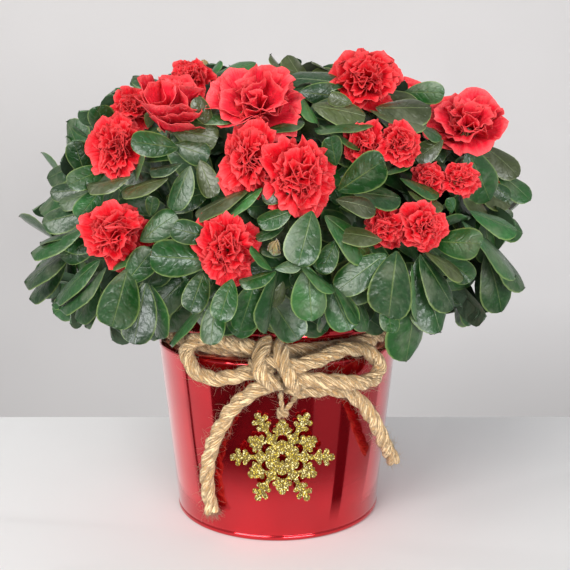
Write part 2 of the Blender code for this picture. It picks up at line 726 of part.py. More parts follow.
def band_mesh():
    """The closed ring of rope that lies in the pot's groove."""
    bm = bmesh.new()
    rings = []
    for turn in range(BAND_STEPS):
        outward = toward(360.0 * turn / BAND_STEPS)
        middle = outward * BAND_RADIUS + UP * BAND_HEIGHT
        ring = []
        for step in range(ROPE_SIDES):
            angle = 2.0 * math.pi * step / ROPE_SIDES
            away = outward * math.cos(angle) + UP * math.sin(angle)
            ring.append(bm.verts.new(middle + away * BAND_ROPE_RADIUS))
        rings.append(ring)
    for ring, following in zip(rings, rings[1:] + rings[:1]):
        for step in range(ROPE_SIDES):
            after = (step + 1) % ROPE_SIDES
            bm.faces.new((ring[step], ring[after], following[after], following[step]))
    return mesh_from(bm)


def make_string():
    strands = [rope_tube(route, STRING_RADIUS) for route in (STRING_LEFT, STRING_RIGHT)]
    knot = ellipsoid(polar(*STRING_KNOT), Vector((1.0, 0.8, 1.0)) * STRING_KNOT_RADIUS)
    tied = combine(knot, strands, "UNION")
    place("string", combine(tied, knot_parts(CLEAR), "DIFFERENCE"), JUTE, smooth=True)


def rotated(points, angle):
    return [(x * math.cos(angle) - z * math.sin(angle), x * math.sin(angle) + z * math.cos(angle))
            for x, z in points]


def arc(centre, radius, start, end, steps):
    """Points of an arc between two angles in degrees, both ends included."""
    points = []
    for step in range(steps + 1):
        angle = math.radians(start + (end - start) * step / steps)
        points.append((centre[0] + radius * math.cos(angle), centre[1] + radius * math.sin(angle)))
    return points


def flake_outline():
    """The tag's outline: six long arms with side lobes, and six short petals between them.

    Half an arm and half a petal are drawn in mm, then mirrored and turned.
    """
    half_arm = [
        *arc((27.5, 0.0), 2.0, 0.0, 120.0, 2), (24.9, 1.3), (26.4, 3.6), (25.4, 4.9), (23.9, 4.3),
        (21.8, 1.5), (22.0, 3.9), (20.8, 5.0), (19.3, 4.2), (18.1, 1.4), (14.6, 1.3),
    ]
    half_petal = [
        (12.9, -2.9), (14.8, -4.2), (16.2, -6.0), (18.2, -5.6), (18.6, -3.8), (20.9, -3.0), (22.4, -1.0),
    ]
    half = [*half_arm, *rotated(half_petal, math.pi / FLAKE_ARMS)]
    mirrored = rotated([(x, -z) for x, z in half[::-1]], 2.0 * math.pi / FLAKE_ARMS)
    outline = []
    for arm in range(FLAKE_ARMS):
        outline.extend(rotated([*half, *mirrored[:-1]], 2.0 * math.pi * arm / FLAKE_ARMS))
    return [(x * MM, z * MM) for x, z in outline]


def flake_crescent(angle):
    """The part of a round hole that the rosette's lobe leaves open."""
    lobe_reach = FLAKE_LOBE_DISTANCE + FLAKE_LOBE_RADIUS
    outer = arc((FLAKE_HOLE_DISTANCE, 0.0), FLAKE_HOLE_RADIUS, -FLAKE_HOLE_OPENING, FLAKE_HOLE_OPENING, 6)
    inner = (lobe_reach + 0.6 * MM, 0.0)
    return rotated([*outer, inner], angle)


def flake_star():
    points = []
    for step in range(2 * FLAKE_ARMS):
        radius = FLAKE_STAR_NOTCH if step % 2 else FLAKE_STAR_TIP
        angle = math.pi * step / FLAKE_ARMS
        points.append((radius * math.cos(angle), radius * math.sin(angle)))
    return points


def make_snowflake():
    """The flat plate, drawn as a filled outline with holes and given its thickness."""
    curve = bpy.data.curves.new("snowflake_outline", "CURVE")
    curve.dimensions = "2D"
    curve.fill_mode = "BOTH"
    curve.extrude = FLAKE_THICKNESS / 2.0
    petals = [math.pi / FLAKE_ARMS * (2 * arm + 1) for arm in range(FLAKE_ARMS)]
    for outline in (flake_outline(), flake_star(), *[flake_crescent(angle) for angle in petals]):
        spline = curve.splines.new("POLY")
        spline.points.add(len(outline) - 1)
        for point, (x, z) in zip(spline.points, outline):
            point.co = (x, z, 0.0, 1.0)
        spline.use_cyclic_u = True
    drawn = bpy.data.objects.new("outline", curve)
    bpy.context.collection.objects.link(drawn)
    evaluated = drawn.evaluated_get(bpy.context.evaluated_depsgraph_get())
    mesh = bpy.data.meshes.new_from_object(evaluated)
    bpy.data.objects.remove(drawn, do_unlink=True)
    bm = bmesh.new()
    bm.from_mesh(mesh)
    bmesh.ops.remove_doubles(bm, verts=bm.verts[:], dist=0.00001)
    bm.transform(Matrix.Translation(FLAKE_CENTRE) @ Matrix.Rotation(math.pi / 2.0, 4, "X"))
    bmesh.ops.recalc_face_normals(bm, faces=bm.faces[:])
    bm.to_mesh(mesh)
    bm.free()
    place("snowflake", mesh, GOLD_GLITTER)


def main():
    clear_scene()
    make_pot()
    make_soil()
    make_trunk()
    routes = bough_routes()
    make_boughs(routes)
    trunk_line = ([UP * SOIL_TOP, TRUNK_TOP.copy()], [TRUNK_BASE_RADIUS])
    limbs = [trunk_line, *routes.values()]
    seats = mass_seats()
    shoots = shoot_list()
    for name in routes:
        make_mass(name, shoots, seats, limbs, routes[name])
    make_rope()
    make_string()
    make_snowflake()


main()
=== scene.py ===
import json
import math
import random
from typing import NamedTuple

import bpy
import numpy as np
from bpy.props import FloatProperty, FloatVectorProperty, IntProperty, PointerProperty
from mathutils import Matrix, Vector, noise
from mathutils.bvhtree import BVHTree

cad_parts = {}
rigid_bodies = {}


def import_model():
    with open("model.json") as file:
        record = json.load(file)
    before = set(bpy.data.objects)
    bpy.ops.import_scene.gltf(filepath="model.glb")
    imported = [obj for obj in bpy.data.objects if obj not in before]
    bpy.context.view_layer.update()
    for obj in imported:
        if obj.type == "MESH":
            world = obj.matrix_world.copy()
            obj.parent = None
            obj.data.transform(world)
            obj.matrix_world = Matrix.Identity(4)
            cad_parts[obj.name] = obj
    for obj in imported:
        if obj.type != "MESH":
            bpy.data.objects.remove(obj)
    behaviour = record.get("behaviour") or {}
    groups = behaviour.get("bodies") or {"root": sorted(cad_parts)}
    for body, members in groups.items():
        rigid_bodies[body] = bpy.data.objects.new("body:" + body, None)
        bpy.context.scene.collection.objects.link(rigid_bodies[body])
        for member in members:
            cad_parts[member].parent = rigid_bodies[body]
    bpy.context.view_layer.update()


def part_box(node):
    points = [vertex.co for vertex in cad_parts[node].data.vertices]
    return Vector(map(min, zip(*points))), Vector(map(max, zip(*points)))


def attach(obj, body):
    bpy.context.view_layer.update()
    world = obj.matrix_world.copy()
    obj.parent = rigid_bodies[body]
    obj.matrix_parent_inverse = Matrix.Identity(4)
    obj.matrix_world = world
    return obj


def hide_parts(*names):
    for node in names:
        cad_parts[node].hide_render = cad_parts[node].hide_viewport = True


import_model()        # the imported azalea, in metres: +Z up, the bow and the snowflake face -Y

bl_info = {
    "name": "Potted Azalea",
    "version": (1, 0, 0),
    "blender": (4, 5, 0),
    "location": "3D View > Sidebar > Azalea",
    "description": "Makes a flowering azalea in a red metal pot with a jute bow and a snowflake",
    "category": "Add Mesh",
}

MM = 0.001
UP = Vector((0.0, 0.0, 1.0))
GOLDEN_ANGLE = math.pi * (3.0 - math.sqrt(5.0))
POT_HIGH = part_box("pot")[1]

# Seeds of the random draws
CRUMB_SEED = 5
SHOOT_SEED = 11
WOOD_SEED = 23
LEAF_SEED = 47
BLOOM_SEED = 101
PETAL_NOISE_SEED = 5
GLITTER_SEED = 4

# Pot, in mm: the same profile as the solid's
POT_FOOT_RADIUS = 63.8
POT_SHOULDER_RADIUS = POT_HIGH.x / MM
POT_SHOULDER_HEIGHT = 109.3
POT_NECK_RADIUS = 62.8
POT_COLLAR_RADIUS = 71.2
POT_COLLAR_HEIGHT = 120.3
POT_RIM_RADIUS = 68.0
POT_HEIGHT = POT_HIGH.z / MM
POT_BEAD_HEIGHT = 3.0
SOIL_TOP = 122.0
SOIL_RADIUS = 60.6
SOIL_DOMING = 1.5
SOIL_CLEARANCE = 4.0

# Trunk and boughs, in mm
TRUNK_FOOT = Vector((-1.0, 1.0, 0.0))
TRUNK_TOP = Vector((2.5, -1.5, 151.0))
TRUNK_FLARE_SHARE = 0.12
TRUNK_BASE_RADIUS = 9.5
TRUNK_RADIUS = 6.4
BOUGH_START_RADIUS = 2.7
BOUGH_TIP_RADIUS = 1.9
BOUGH_LOW_START = 136.5
BOUGH_HIGH_START = 144.5
SHOOTS_ON_BRANCH = 4.5
BRANCH_RADII = (1.9, 1.35)
TWIG_RADII = (1.2, 0.75)
TWIG_LENGTH = 16.0

# Masses of foliage by azimuth in degrees, with the seats of their spaces, in mm
RING_MASSES = {"front": 0, "front_right": 60, "back_right": 120,
               "back": 180, "back_left": 240, "front_left": 300}
TOP_MASSES = {"top_right": 60, "top_back": 180, "top_left": 300}
RING_SEAT = (95.0, 172.0)
TOP_SEAT = (44.0, 246.0)
RING_HUB = (58.0, 166.0)
TOP_HUB = (24.0, 206.0)

# Crown, in mm: broad domes that the shoot tips, blooms and front leaves lie on. Each gives how far
# out, up and down from the crown's centre it reaches
CROWN_CENTRE = Vector((0.0, 0.0, 165.0))
CROWN_POWER = 2.5
SHOOT_DOME = (131.0, 100.0, 44.0)
BLOOM_DOME = (142.0, 118.0, 75.0)
FRONT_DOME = (134.0, 112.0, 62.0)
BUD_STANDING_OUT = 6.0
INNER_DOME_SCALE = 0.78
SHOOT_LOWEST_SINE = -0.36
SHOOT_CROWDING = 0.82
SHOOT_LIFT = -0.10
BLOOM_LIFT = 0.25
BUD_LIFT = 1.2
SHOOT_DROOP_HEIGHT = 190.0
BLOOM_SETBACK = 0.35

# Leaves on a shoot: their angles from its direction in degrees, the length in mm that they stand on,
# and the tries for a free place, each turned a little further
SHOOT_OPENING = 44.0
BLOOM_OPENING = 74.0
OPENING_WITH_AGE = 48.0
SHOOT_LEAFY_LENGTH = 11.0
LEAF_ATTEMPTS = 7
LEAF_SHIFT = math.radians(25.0)
NEIGHBOUR_CELL = 34.0

# Where no leaf grows, in mm: in the pot, in front of the bow, below the skirt and past the crown's
# reach, which is less at the lower right, up to a height over the crown's centre
POT_KEEP_OUT_RADIUS = 73.5
BOW_KEEP_OUT_HEIGHT = 132.0
BOW_KEEP_OUT_ANGLE = math.radians(47.0)
SKIRT_FOOT = (88.0, 106.0)
SKIRT_SLOPE = 0.48
CROWN_REACH = (158.0, 114.0, 92.0)
LOW_RIGHT_TRIM = (17.0, 8.0)

# Camera, and the distances from it, in mm, where the crown is looked for
CAMERA_PLACE = Vector((4.7, -516.4, 220.8)) * MM
CAMERA_PITCH = math.radians(8.83)
CAMERA_LENS = 52.26
CAMERA_SENSOR = 36.0
CROWN_DEPTHS = range(300, 620, 2)

# Blooms seen from the front: where they show in the front view, across and down, with the width in
# mm, the form, how far the bloom leans to the right and up from facing the viewer, and its height
# over its width. The view is 570 units across.
VIEW_SIZE = 570.0
FRONT_BLOOMS = (
    (190, 74, 24, "rose", -0.3, 0.7, 0.85), (171, 108, 34, "cupped", 0.1, 1.2, 1.0),
    (131, 106, 24, "rose", -0.5, 0.6, 0.9), (115, 145, 30, "rose", -0.4, 0.4, 1.25),
    (256, 99, 47, "open", -0.2, 0.8, 0.85), (366, 75, 39, "rose", 0.1, 0.6, 0.92),
    (468, 121, 43, "open", -0.1, 0.6, 0.85), (383, 139, 33, "pair", 0.1, 0.3, 0.95),
    (247, 158, 32, "rose", -0.4, 0.2, 1.15), (303, 180, 36, "rose", 0.35, -0.2, 1.12),
    (447, 178, 30, "pair", 0.2, 0.1, 0.85), (404, 227, 34, "pair", 0.0, 0.0, 0.95),
    (114, 233, 39, "rose", -0.2, 0.2, 0.88), (228, 250, 31, "rose", 0.1, -0.1, 1.18),
)
FRONT_BUDS = ((205, 75), (463, 143), (450, 190), (275, 255))
# Blooms at the sides and the back: azimuth and elevation in degrees, width in mm and form
BACK_BLOOMS = (
    (92, 20, 38, "rose"), (118, 44, 40, "open"), (126, 10, 36, "pair"), (150, 27, 42, "rose"),
    (178, 46, 40, "rose"), (183, 12, 38, "open"), (205, 30, 40, "pair"), (232, 9, 36, "rose"),
    (240, 38, 38, "rose"), (247, 16, 38, "open"), (155, 46, 34, "rose"), (212, 52, 36, "pair"),
)
BACK_BUDS = ((140, 18), (165, 40), (-150, 22), (-120, 40), (-100, 8), (105, 5), (185, 32), (-165, 5))

# Leaves seen from the front, by colour: base and tip as they show in the front view, across and
# down, the width in the same units, and how far the leaf stands out of the dome in mm
FRONT_LEAVES = {
    "deep": (
        (82, 190, 50, 192, 20, 0), (92, 191, 60, 205, 14, 3), (88, 211, 42, 222, 28, 2),
        (84, 228, 38, 237, 9, 0), (86, 226, 30, 251, 18, 4), (76, 248, 19, 276, 21, 3),
        (66, 262, 28, 298, 18, 0), (100, 260, 50, 297, 20, 6), (84, 283, 51, 304, 13, -4),
        (99, 284, 76, 321, 22, -6), (98, 298, 82, 326, 7, -2), (128, 268, 112, 328, 42, 12),
        (146, 283, 133, 343, 36, 2), (150, 285, 157, 339, 20, -6), (125, 284, 152, 250, 30, 15),
        (212, 260, 150, 256, 39, 6), (212, 238, 174, 228, 32, 10), (140, 241, 173, 213, 25, 4),
        (150, 216, 153, 197, 18, 2), (190, 166, 171, 209, 24, 6), (178, 148, 134, 141, 35, 8),
        (174, 144, 209, 156, 24, 7), (192, 120, 241, 105, 20, 10), (110, 142, 97, 107, 36, 2),
        (86, 177, 74, 144, 28, 2), (107, 168, 70, 183, 25, 6), (118, 187, 100, 212, 17, -4),
        (136, 181, 138, 151, 7, 4), (166, 86, 133, 76, 15, 0), (182, 163, 150, 172, 9, 2),
        (292, 211, 258, 223, 21, 8), (284, 227, 255, 236, 13, 4), (312, 211, 300, 262, 42, 12),
        (336, 240, 322, 270, 22, 2), (325, 216, 377, 253, 26, 4), (386, 254, 337, 289, 34, 12),
        (388, 270, 345, 298, 26, -2), (397, 251, 388, 318, 46, 17), (417, 285, 409, 362, 31, 4),
        (420, 256, 438, 331, 38, 4), (420, 254, 456, 307, 22, 10), (432, 241, 482, 244, 36, 4),
        (440, 254, 473, 280, 26, -4), (486, 253, 508, 312, 27, 0), (486, 238, 527, 286, 13, 4),
        (484, 218, 494, 262, 18, -4), (498, 173, 533, 196, 19, -2), (467, 150, 495, 201, 34, 2),
        (415, 160, 383, 172, 7, 4), (338, 191, 385, 160, 38, 6), (336, 166, 331, 137, 27, 6),
        (345, 85, 288, 71, 26, 0), (405, 92, 442, 92, 27, -4), (265, 131, 303, 117, 13, 4),
        (376, 124, 316, 120, 7, 4), (420, 125, 442, 137, 9, 2), (352, 192, 401, 196, 19, -2),
        (400, 178, 440, 192, 9, 0), (497, 210, 514, 217, 10, -4), (490, 184, 511, 198, 15, -4),
        (205, 270, 190, 309, 28, 2), (255, 283, 240, 331, 30, 10), (232, 279, 219, 318, 31, 15),
        (216, 300, 210, 342, 30, 10), (276, 271, 240, 284, 14, 14), (286, 255, 262, 246, 13, 0),
        (386, 300, 392, 331, 24, 0), (355, 295, 368, 330, 15, 0), (88, 138, 74, 125, 6, 0),
        (320, 125, 366, 145, 7, 0), (300, 92, 344, 96, 24, -9), (308, 112, 348, 104, 22, -10),
        (98, 236, 62, 258, 24, -9), (96, 250, 60, 236, 20, -9),
    ),
    "fresh": (
        (106, 267, 62, 310, 9, 6), (110, 270, 134, 252, 7, 16), (102, 188, 78, 219, 25, 4),
        (277, 272, 264, 332, 16, 12), (275, 269, 300, 263, 12, 14), (300, 264, 336, 290, 8, 14),
        (334, 286, 364, 319, 8, 14), (330, 284, 350, 330, 34, 0), (205, 306, 165, 340, 13, 8),
        (206, 81, 219, 60, 5, 2), (470, 211, 518, 229, 16, 4), (462, 221, 524, 267, 11, 6),
        (452, 213, 450, 198, 14, 6),
    ),
    "bronze": (
        (131, 176, 88, 188, 11, 6), (168, 178, 121, 190, 15, 2), (148, 128, 150, 113, 12, 2),
        (200, 160, 212, 195, 27, 2), (250, 189, 193, 209, 11, 6), (290, 192, 262, 197, 19, 6),
        (171, 128, 217, 138, 29, 13), (382, 240, 341, 228, 19, 8), (425, 252, 467, 273, 10, 12),
        (484, 146, 521, 172, 22, 0), (443, 140, 415, 159, 24, 2), (312, 105, 366, 114, 23, 4),
        (352, 103, 330, 97, 17, 10), (376, 108, 431, 107, 23, 8), (370, 110, 426, 121, 7, 4),
        (336, 200, 378, 206, 17, 6), (408, 191, 444, 205, 10, 4), (283, 282, 278, 309, 13, 2),
        (212, 127, 196, 100, 20, 4),
    ),
    "young": (
        (92, 144, 71, 141, 10, 0), (262, 188, 223, 212, 16, 8), (412, 265, 423, 320, 5, 14),
        (298, 92, 318, 122, 8, 12), (272, 270, 252, 246, 9, 16), (308, 267, 312, 321, 35, 12),
        (212, 76, 255, 62, 15, -4),
    ),
}
FRONT_SHOOT_ANGLE = 64.0
FRONT_SHOOT_HEIGHT = 245.0
FRONT_SHOOT_SCALE = 0.84

# Rope routes: azimuth from the front in degrees, distance from the pot's axis and height in mm
BAND = (66.9, 113.8)
LEFT_LOOP = (
    (-1, 83.5, 108.0), (-7, 82.5, 106.6), (-14.5, 81.5, 103.4), (-22.5, 81, 100.0),
    (-29.8, 81, 100.2), (-35.8, 80.5, 104.0), (-38.8, 80.5, 110.2), (-37.6, 80.3, 116.4),
    (-33, 80, 120.8), (-26, 80, 122.0), (-18.2, 80, 120.4), (-10, 81, 119.0), (-2, 83, 117.6),
)
RIGHT_LOOP = (
    (3, 86, 110.0), (9.5, 87, 111.0), (17, 85.5, 113.6), (25, 83, 116.0), (33.4, 81.8, 115.4),
    (40.4, 81.5, 111.2), (44.6, 82, 105.0), (43.8, 83, 99.6), (38.6, 84.5, 96.6),
    (31, 86, 97.2), (23.5, 87, 99.6), (15.6, 87, 101.4), (6, 86, 103.6),
)
LEFT_TAIL = (
    (2, 83, 100.5), (-5.7, 82.4, 97.2), (-12.3, 81, 91.0), (-18, 79.4, 83.0),
    (-23, 77.8, 73.2), (-27.6, 76.2, 62.4), (-31.4, 74.6, 49.8), (-33.6, 73, 38.4),
    (-33.8, 71.6, 26.6), (-32.4, 70.6, 16.0),
)
RIGHT_TAIL = (
    (4, 83.4, 98.0), (10, 81.6, 95.0), (17.6, 79.4, 94.4), (25, 79.1, 93.0), (31.6, 80.2, 89.2),
    (37.6, 81, 81.2), (43.6, 81.6, 69.6), (49.8, 81.2, 57.0), (55.6, 80.4, 47.4),
    (61.6, 79.8, 39.4),
)
LEFT_WRAP = (
    (-3.2, 79.0, 121.5), (-4.9, 84.5, 119.6), (-5.8, 88.2, 114.5), (-5.6, 89.4, 108.5),
    (-3.6, 88.4, 103.0), (-0.8, 84.5, 99.6), (0.6, 79.5, 100.0),
)
RIGHT_WRAP = (
    (0.6, 79.0, 120.4), (1.4, 85.6, 118.8), (2.2, 89.0, 113.6), (3.4, 90.2, 108.0),
    (5.4, 89.2, 102.4), (7.2, 85.6, 98.4), (7.4, 80.0, 98.6),
)
CROSS_WRAP = (
    (-8.4, 80.2, 110.4), (-5.4, 84.0, 112.6), (0.4, 86.2, 112.6), (6.2, 85.6, 109.4),
    (9.6, 82.0, 106.0),
)
STRING_LEFT = ((1.6, 76.8, 104.5), (1.6, 76.6, 96.0), (1.9, 76.3, 88.0), (2.7, 75.8, 81.0))
STRING_RIGHT = ((6.6, 76.9, 104.5), (8.0, 76.8, 96.0), (7.4, 76.4, 89.0), (2.7, 75.8, 81.0))
STRING_KNOT = (2.7, 75.6, 80.9)
BOW_ROUTES = {
    "bow_knot": (LEFT_WRAP, RIGHT_WRAP, CROSS_WRAP), "bow_loop_left": (LEFT_LOOP,),
    "bow_loop_right": (RIGHT_LOOP,), "rope_tail_left": (LEFT_TAIL,), "rope_tail_right": (RIGHT_TAIL,),
}
BAND_STEPS = 90

# String, in mm: its radius and lay, and the coil of its knot with its half sizes in X, Y and Z
STRING_RADIUS = 1.5
STRING_LAY = 9.0
COIL_HALVES = (2.3, 1.6, 2.2)
COIL_TURNS = 2.6
COIL_STEPS = 40
COIL_LAY = 8.0

# Frayed ends of the tails: route, number of fibres, their length in mm and the seed
FRAYED_TAILS = ((LEFT_TAIL, 150, 7.0, 1), (RIGHT_TAIL, 80, 4.0, 2))

# Loose fibres: how far they lean from the rope's normal, and their shortest and longest in mm
FIBRE_LEANS = (0.9, 1.57)
FIBRE_LENGTHS = (2.5, 7.5)
FLUFF_COLOUR = (0.95, 0.80, 0.55)

# How fine the jute's streaks are across a strand, and how the strands' bumps are stretched
ROPE_STREAKS = 1300.0
TWINE_STREAKS = 2600.0
FLUFF_STREAKS = 300.0
BUMP_STRETCH = (1400.0, 1400.0, 80.0)

# Snowflake, in mm
FLAKE_CENTRE = Vector((3.2, -72.9, 54.3))
FLAKE_ARMS = 6
FLAKE_ROUNDING = 0.15
STAR_TIP = 4.3
STAR_NOTCH = 1.9
LOBE_RADIUS = 3.3
LOBE_DISTANCE = 6.9
HOLE_DISTANCE = 9.9
ROSETTE_THICKNESS = 0.9
ROSETTE_ROUNDING = 0.2
GLITTER_LEANS = (0.0, 0.9)
GLITTER_SIZES = (0.45, 0.85)


# Settings that a user would change

def colour_setting(name, description, default):
    return FloatVectorProperty(name=name, description=description, subtype="COLOR", size=3,
                               default=default, min=0.0, max=1.0)


def count_setting(name, description, default, least=0):
    return IntProperty(name=name, description=description, default=default, min=least)


def number_setting(name, description, default, unit="NONE", least=0.0):
    return FloatProperty(name=name, description=description, default=default, min=least, unit=unit)


def length_setting(name, description, default, least=0.0):
    return number_setting(name, description, default, "LENGTH", least)


class PotSettings(bpy.types.PropertyGroup):
    """Sizes and colours of the pot and its root ball."""
    paint: colour_setting("Paint", "Colour of the pot's enamel", (0.61, 0.004, 0.014))
    steps: count_setting("Steps", "Facets round the pot", 144, 12)
    wall: length_setting("Wall", "Thickness of the sheet metal", 1.2 * MM)
    peat: colour_setting("Peat", "Colour of the root ball", (0.035, 0.022, 0.014))
    crumbs: count_setting("Crumbs", "Loose crumbs of peat", 420)


class CrownSettings(bpy.types.PropertyGroup):
    """How densely the crown grows, and the size of its leaves."""
    outer_shoots: count_setting("Outer shoots", "Shoots on the crown's dome", 118, 1)
    inner_shoots: count_setting("Inner shoots", "Shoots inside the dome", 84)
    leaves: count_setting("Leaves", "Leaves on each shoot", 8, 1)
    leaf_length: length_setting("Leaf length", "Length of a full-grown leaf", 35.0 * MM)
    bark: colour_setting("Bark", "Colour of the bark", (0.13, 0.085, 0.05))
    deep: colour_setting("Deep green", "Colour of most leaves", (0.008, 0.051, 0.0075))
    fresh: colour_setting("Fresh green", "Colour of the fresher sprays", (0.012, 0.069, 0.013))
    bronze: colour_setting("Bronze", "Colour of the sprays tinged by the cold", (0.036, 0.050, 0.013))
    young: colour_setting("Young green", "Colour of the youngest leaves", (0.024, 0.100, 0.020))


class BloomSettings(bpy.types.PropertyGroup):
    """Colours of the blooms and buds."""
    scarlet: colour_setting("Scarlet", "Colour of the petals", (0.64, 0.005, 0.014))
    # The coral margin is partly a painted highlight.
    coral: colour_setting("Coral", "Colour of the petals' margins and backs", (0.82, 0.115, 0.115))
    petal_thickness: length_setting("Petal thickness", "Thickness of a petal", 0.28 * MM)
    bud: colour_setting("Bud", "Colour of the bud scales", (0.16, 0.30, 0.07))


class RopeSettings(bpy.types.PropertyGroup):
    """Sizes and colour of the jute rope and the string."""
    jute: colour_setting("Jute", "Colour of the jute", (1.0, 0.74, 0.42))
    rope_radius: length_setting("Rope radius", "Half the rope's thickness", 4.4 * MM)
    strands: count_setting("Strands", "Strands laid up into the rope", 3, 2)
    lay: length_setting("Lay", "Length of rope in which a strand turns once", 36.0 * MM, MM)
    fuzz: number_setting("Fuzz", "Loose fibres on a square metre of rope", 130000.0)


class TagSettings(bpy.types.PropertyGroup):
    """Sizes and colour of the snowflake."""
    gold: colour_setting("Gold", "Colour of the glitter", (1.0, 0.76, 0.05))
    thickness: length_setting("Thickness", "Thickness of the plate", 1.4 * MM)
    glitter: number_setting("Glitter", "Glitter flakes on a square metre", 2300000.0)


class StageSettings(bpy.types.PropertyGroup):
    """The studio round the plant."""
    key_power: number_setting("Key light", "Power of the key light", 27.0, "POWER")
    fill_power: number_setting("Fill light", "Power of the fill light", 21.0, "POWER")
    wall_power: number_setting("Wall light", "Power of the light on the backdrop", 3.4, "POWER")
    surround: number_setting("Surround", "Strength of the light from all sides", 0.44)
    floor: colour_setting("Floor", "Colour of the floor", (0.79, 0.795, 0.795))
    wall: colour_setting("Wall", "Colour of the backdrop", (0.59, 0.575, 0.57))


# Node trees

def socket_of(sockets, key):
    """The socket of that name or number. Of several with one name, the one that is in use."""
    if isinstance(key, int):
        return sockets[key]
    return next(socket for socket in sockets if socket.name == key and socket.enabled)


def output_of(source):
    if isinstance(source, bpy.types.Node):
        return next(socket for socket in source.outputs if socket.enabled)
    return source


def feed(tree, node, inputs):
    """Gives each input a value, a socket or another node's output."""
    for key, value in inputs.items():
        socket = socket_of(node.inputs, key)
        if isinstance(value, (bpy.types.Node, bpy.types.NodeSocket)):
            tree.links.new(output_of(value), socket)
        else:
            socket.default_value = value
    return node


def add(tree, kind, inputs=None, **settings):
    """Adds a node with its settings and its inputs."""
    made = tree.nodes.new(kind)
    for name, value in settings.items():
        setattr(made, name, value)
    return feed(tree, made, inputs or {})


def math_node(tree, operation, first, second=0.0, clamp=False):
    return add(tree, "ShaderNodeMath", {0: first, 1: second}, operation=operation, use_clamp=clamp)


def times(tree, first, second):
    return math_node(tree, "MULTIPLY", first, second)


def vector_node(tree, operation, first, second):
    key = "Scale" if operation == "SCALE" else 1
    return add(tree, "ShaderNodeVectorMath", {0: first, key: second}, operation=operation)


def noise_node(tree, place, scale, detail):
    return add(tree, "ShaderNodeTexNoise", {"Vector": place, "Scale": scale, "Detail": detail})


def ramp_between(tree, value, low, high, start=0.0, end=1.0):
    """A smooth step of a value from one number to another."""
    return add(tree, "ShaderNodeMapRange",
               {"Value": value, "From Min": low, "From Max": high, "To Min": start, "To Max": end},
               interpolation_type="SMOOTHSTEP")


def blend_colours(tree, mask, first, second, share=1.0):
    """Goes from the first colour to the second as far as a mask says, times a share."""
    factor = mask if share == 1.0 else times(tree, mask, share)
    first, second = [colour if isinstance(colour, bpy.types.NodeSocket) else (*colour[:3], 1.0)
                     for colour in (first, second)]
    blended = add(tree, "ShaderNodeMix", {"Factor": factor, "A": first, "B": second}, data_type="RGBA")
    return socket_of(blended.outputs, "Result")


def kept_group(name, kind, inputs, outputs):
    """Makes a function that fills a node group give that group, which is built once. A socket is
    described by its default, or by a word for its kind where it has none."""
    kinds = {float: "Float", int: "Int", tuple: "Vector"}

    def wrap(fill):
        def kept():
            if name in bpy.data.node_groups:
                return bpy.data.node_groups[name]
            tree = bpy.data.node_groups.new(name, kind)
            for way, sockets in (("INPUT", inputs), ("OUTPUT", outputs)):
                for label, default in sockets.items():
                    word = default if isinstance(default, str) else kinds[type(default)]
                    socket = tree.interface.new_socket(name=label, in_out=way,
                                                       socket_type="NodeSocket" + word)
                    if default != word:
                        socket.default_value = default
            results = fill(tree, tree.nodes.new("NodeGroupInput").outputs)
            feed(tree, tree.nodes.new("NodeGroupOutput"), results)
            return tree
        return kept
    return wrap


def growing_tree(name, inputs):
    """Keeps a geometry tree that takes a geometry and gives one in its material."""
    geometry = {"Geometry": "Geometry"}
    return kept_group(name, "GeometryNodeTree", {**geometry, **inputs, "Finish": "Material"}, geometry)


def shared_effect(name, inputs, outputs):
    """Makes a function that fills a shader group add that group to a tree. It is called with the
    tree and the values of its inputs in their order."""
    def wrap(fill):
        kept = kept_group(name, "ShaderNodeTree", inputs, outputs)(fill)

        def use(tree, *values):
            return add(tree, "ShaderNodeGroup", dict(zip(inputs, values)), node_tree=kept())
        return use
    return wrap


# Shared effects

@shared_effect("Mottle", {"Vector": "Vector", "Scale": 100.0, "Low": 0.4, "High": 0.6}, {"Mask": "Float"})
def mottle(tree, given):
    """Soft patches: noise between two thresholds."""
    cloud = noise_node(tree, given["Vector"], given["Scale"], 4.0)
    return {"Mask": ramp_between(tree, cloud, given["Low"], given["High"])}


@shared_effect("Fibres", {"Vector": "Vector", "Stretch": (1.0, 1.0, 1.0), "Low": 0.35, "High": 0.65},
               {"Mask": "Float"})
def fibres(tree, given):
    """Fine streaks: noise stretched by a vector."""
    stretched = vector_node(tree, "MULTIPLY", given["Vector"], given["Stretch"])
    return {"Mask": ramp_between(tree, noise_node(tree, stretched, 1.0, 3.0), given["Low"], given["High"])}


@shared_effect("Fine relief", {"Vector": "Vector", "Height": 0.0, "Grain Scale": 500.0, "Grain": 0.3,
                               "Strength": 0.3, "Depth": 0.0004}, {"Normal": "Vector"})
def relief(tree, given):
    """A height made a normal, on top of a fine grain of its own."""
    grain = noise_node(tree, given["Vector"], given["Grain Scale"], 2.0)
    total = math_node(tree, "ADD", times(tree, grain, given["Grain"]), given["Height"])
    return {"Normal": add(tree, "ShaderNodeBump", {"Height": total, "Strength": given["Strength"],
                                                   "Distance": given["Depth"]})}


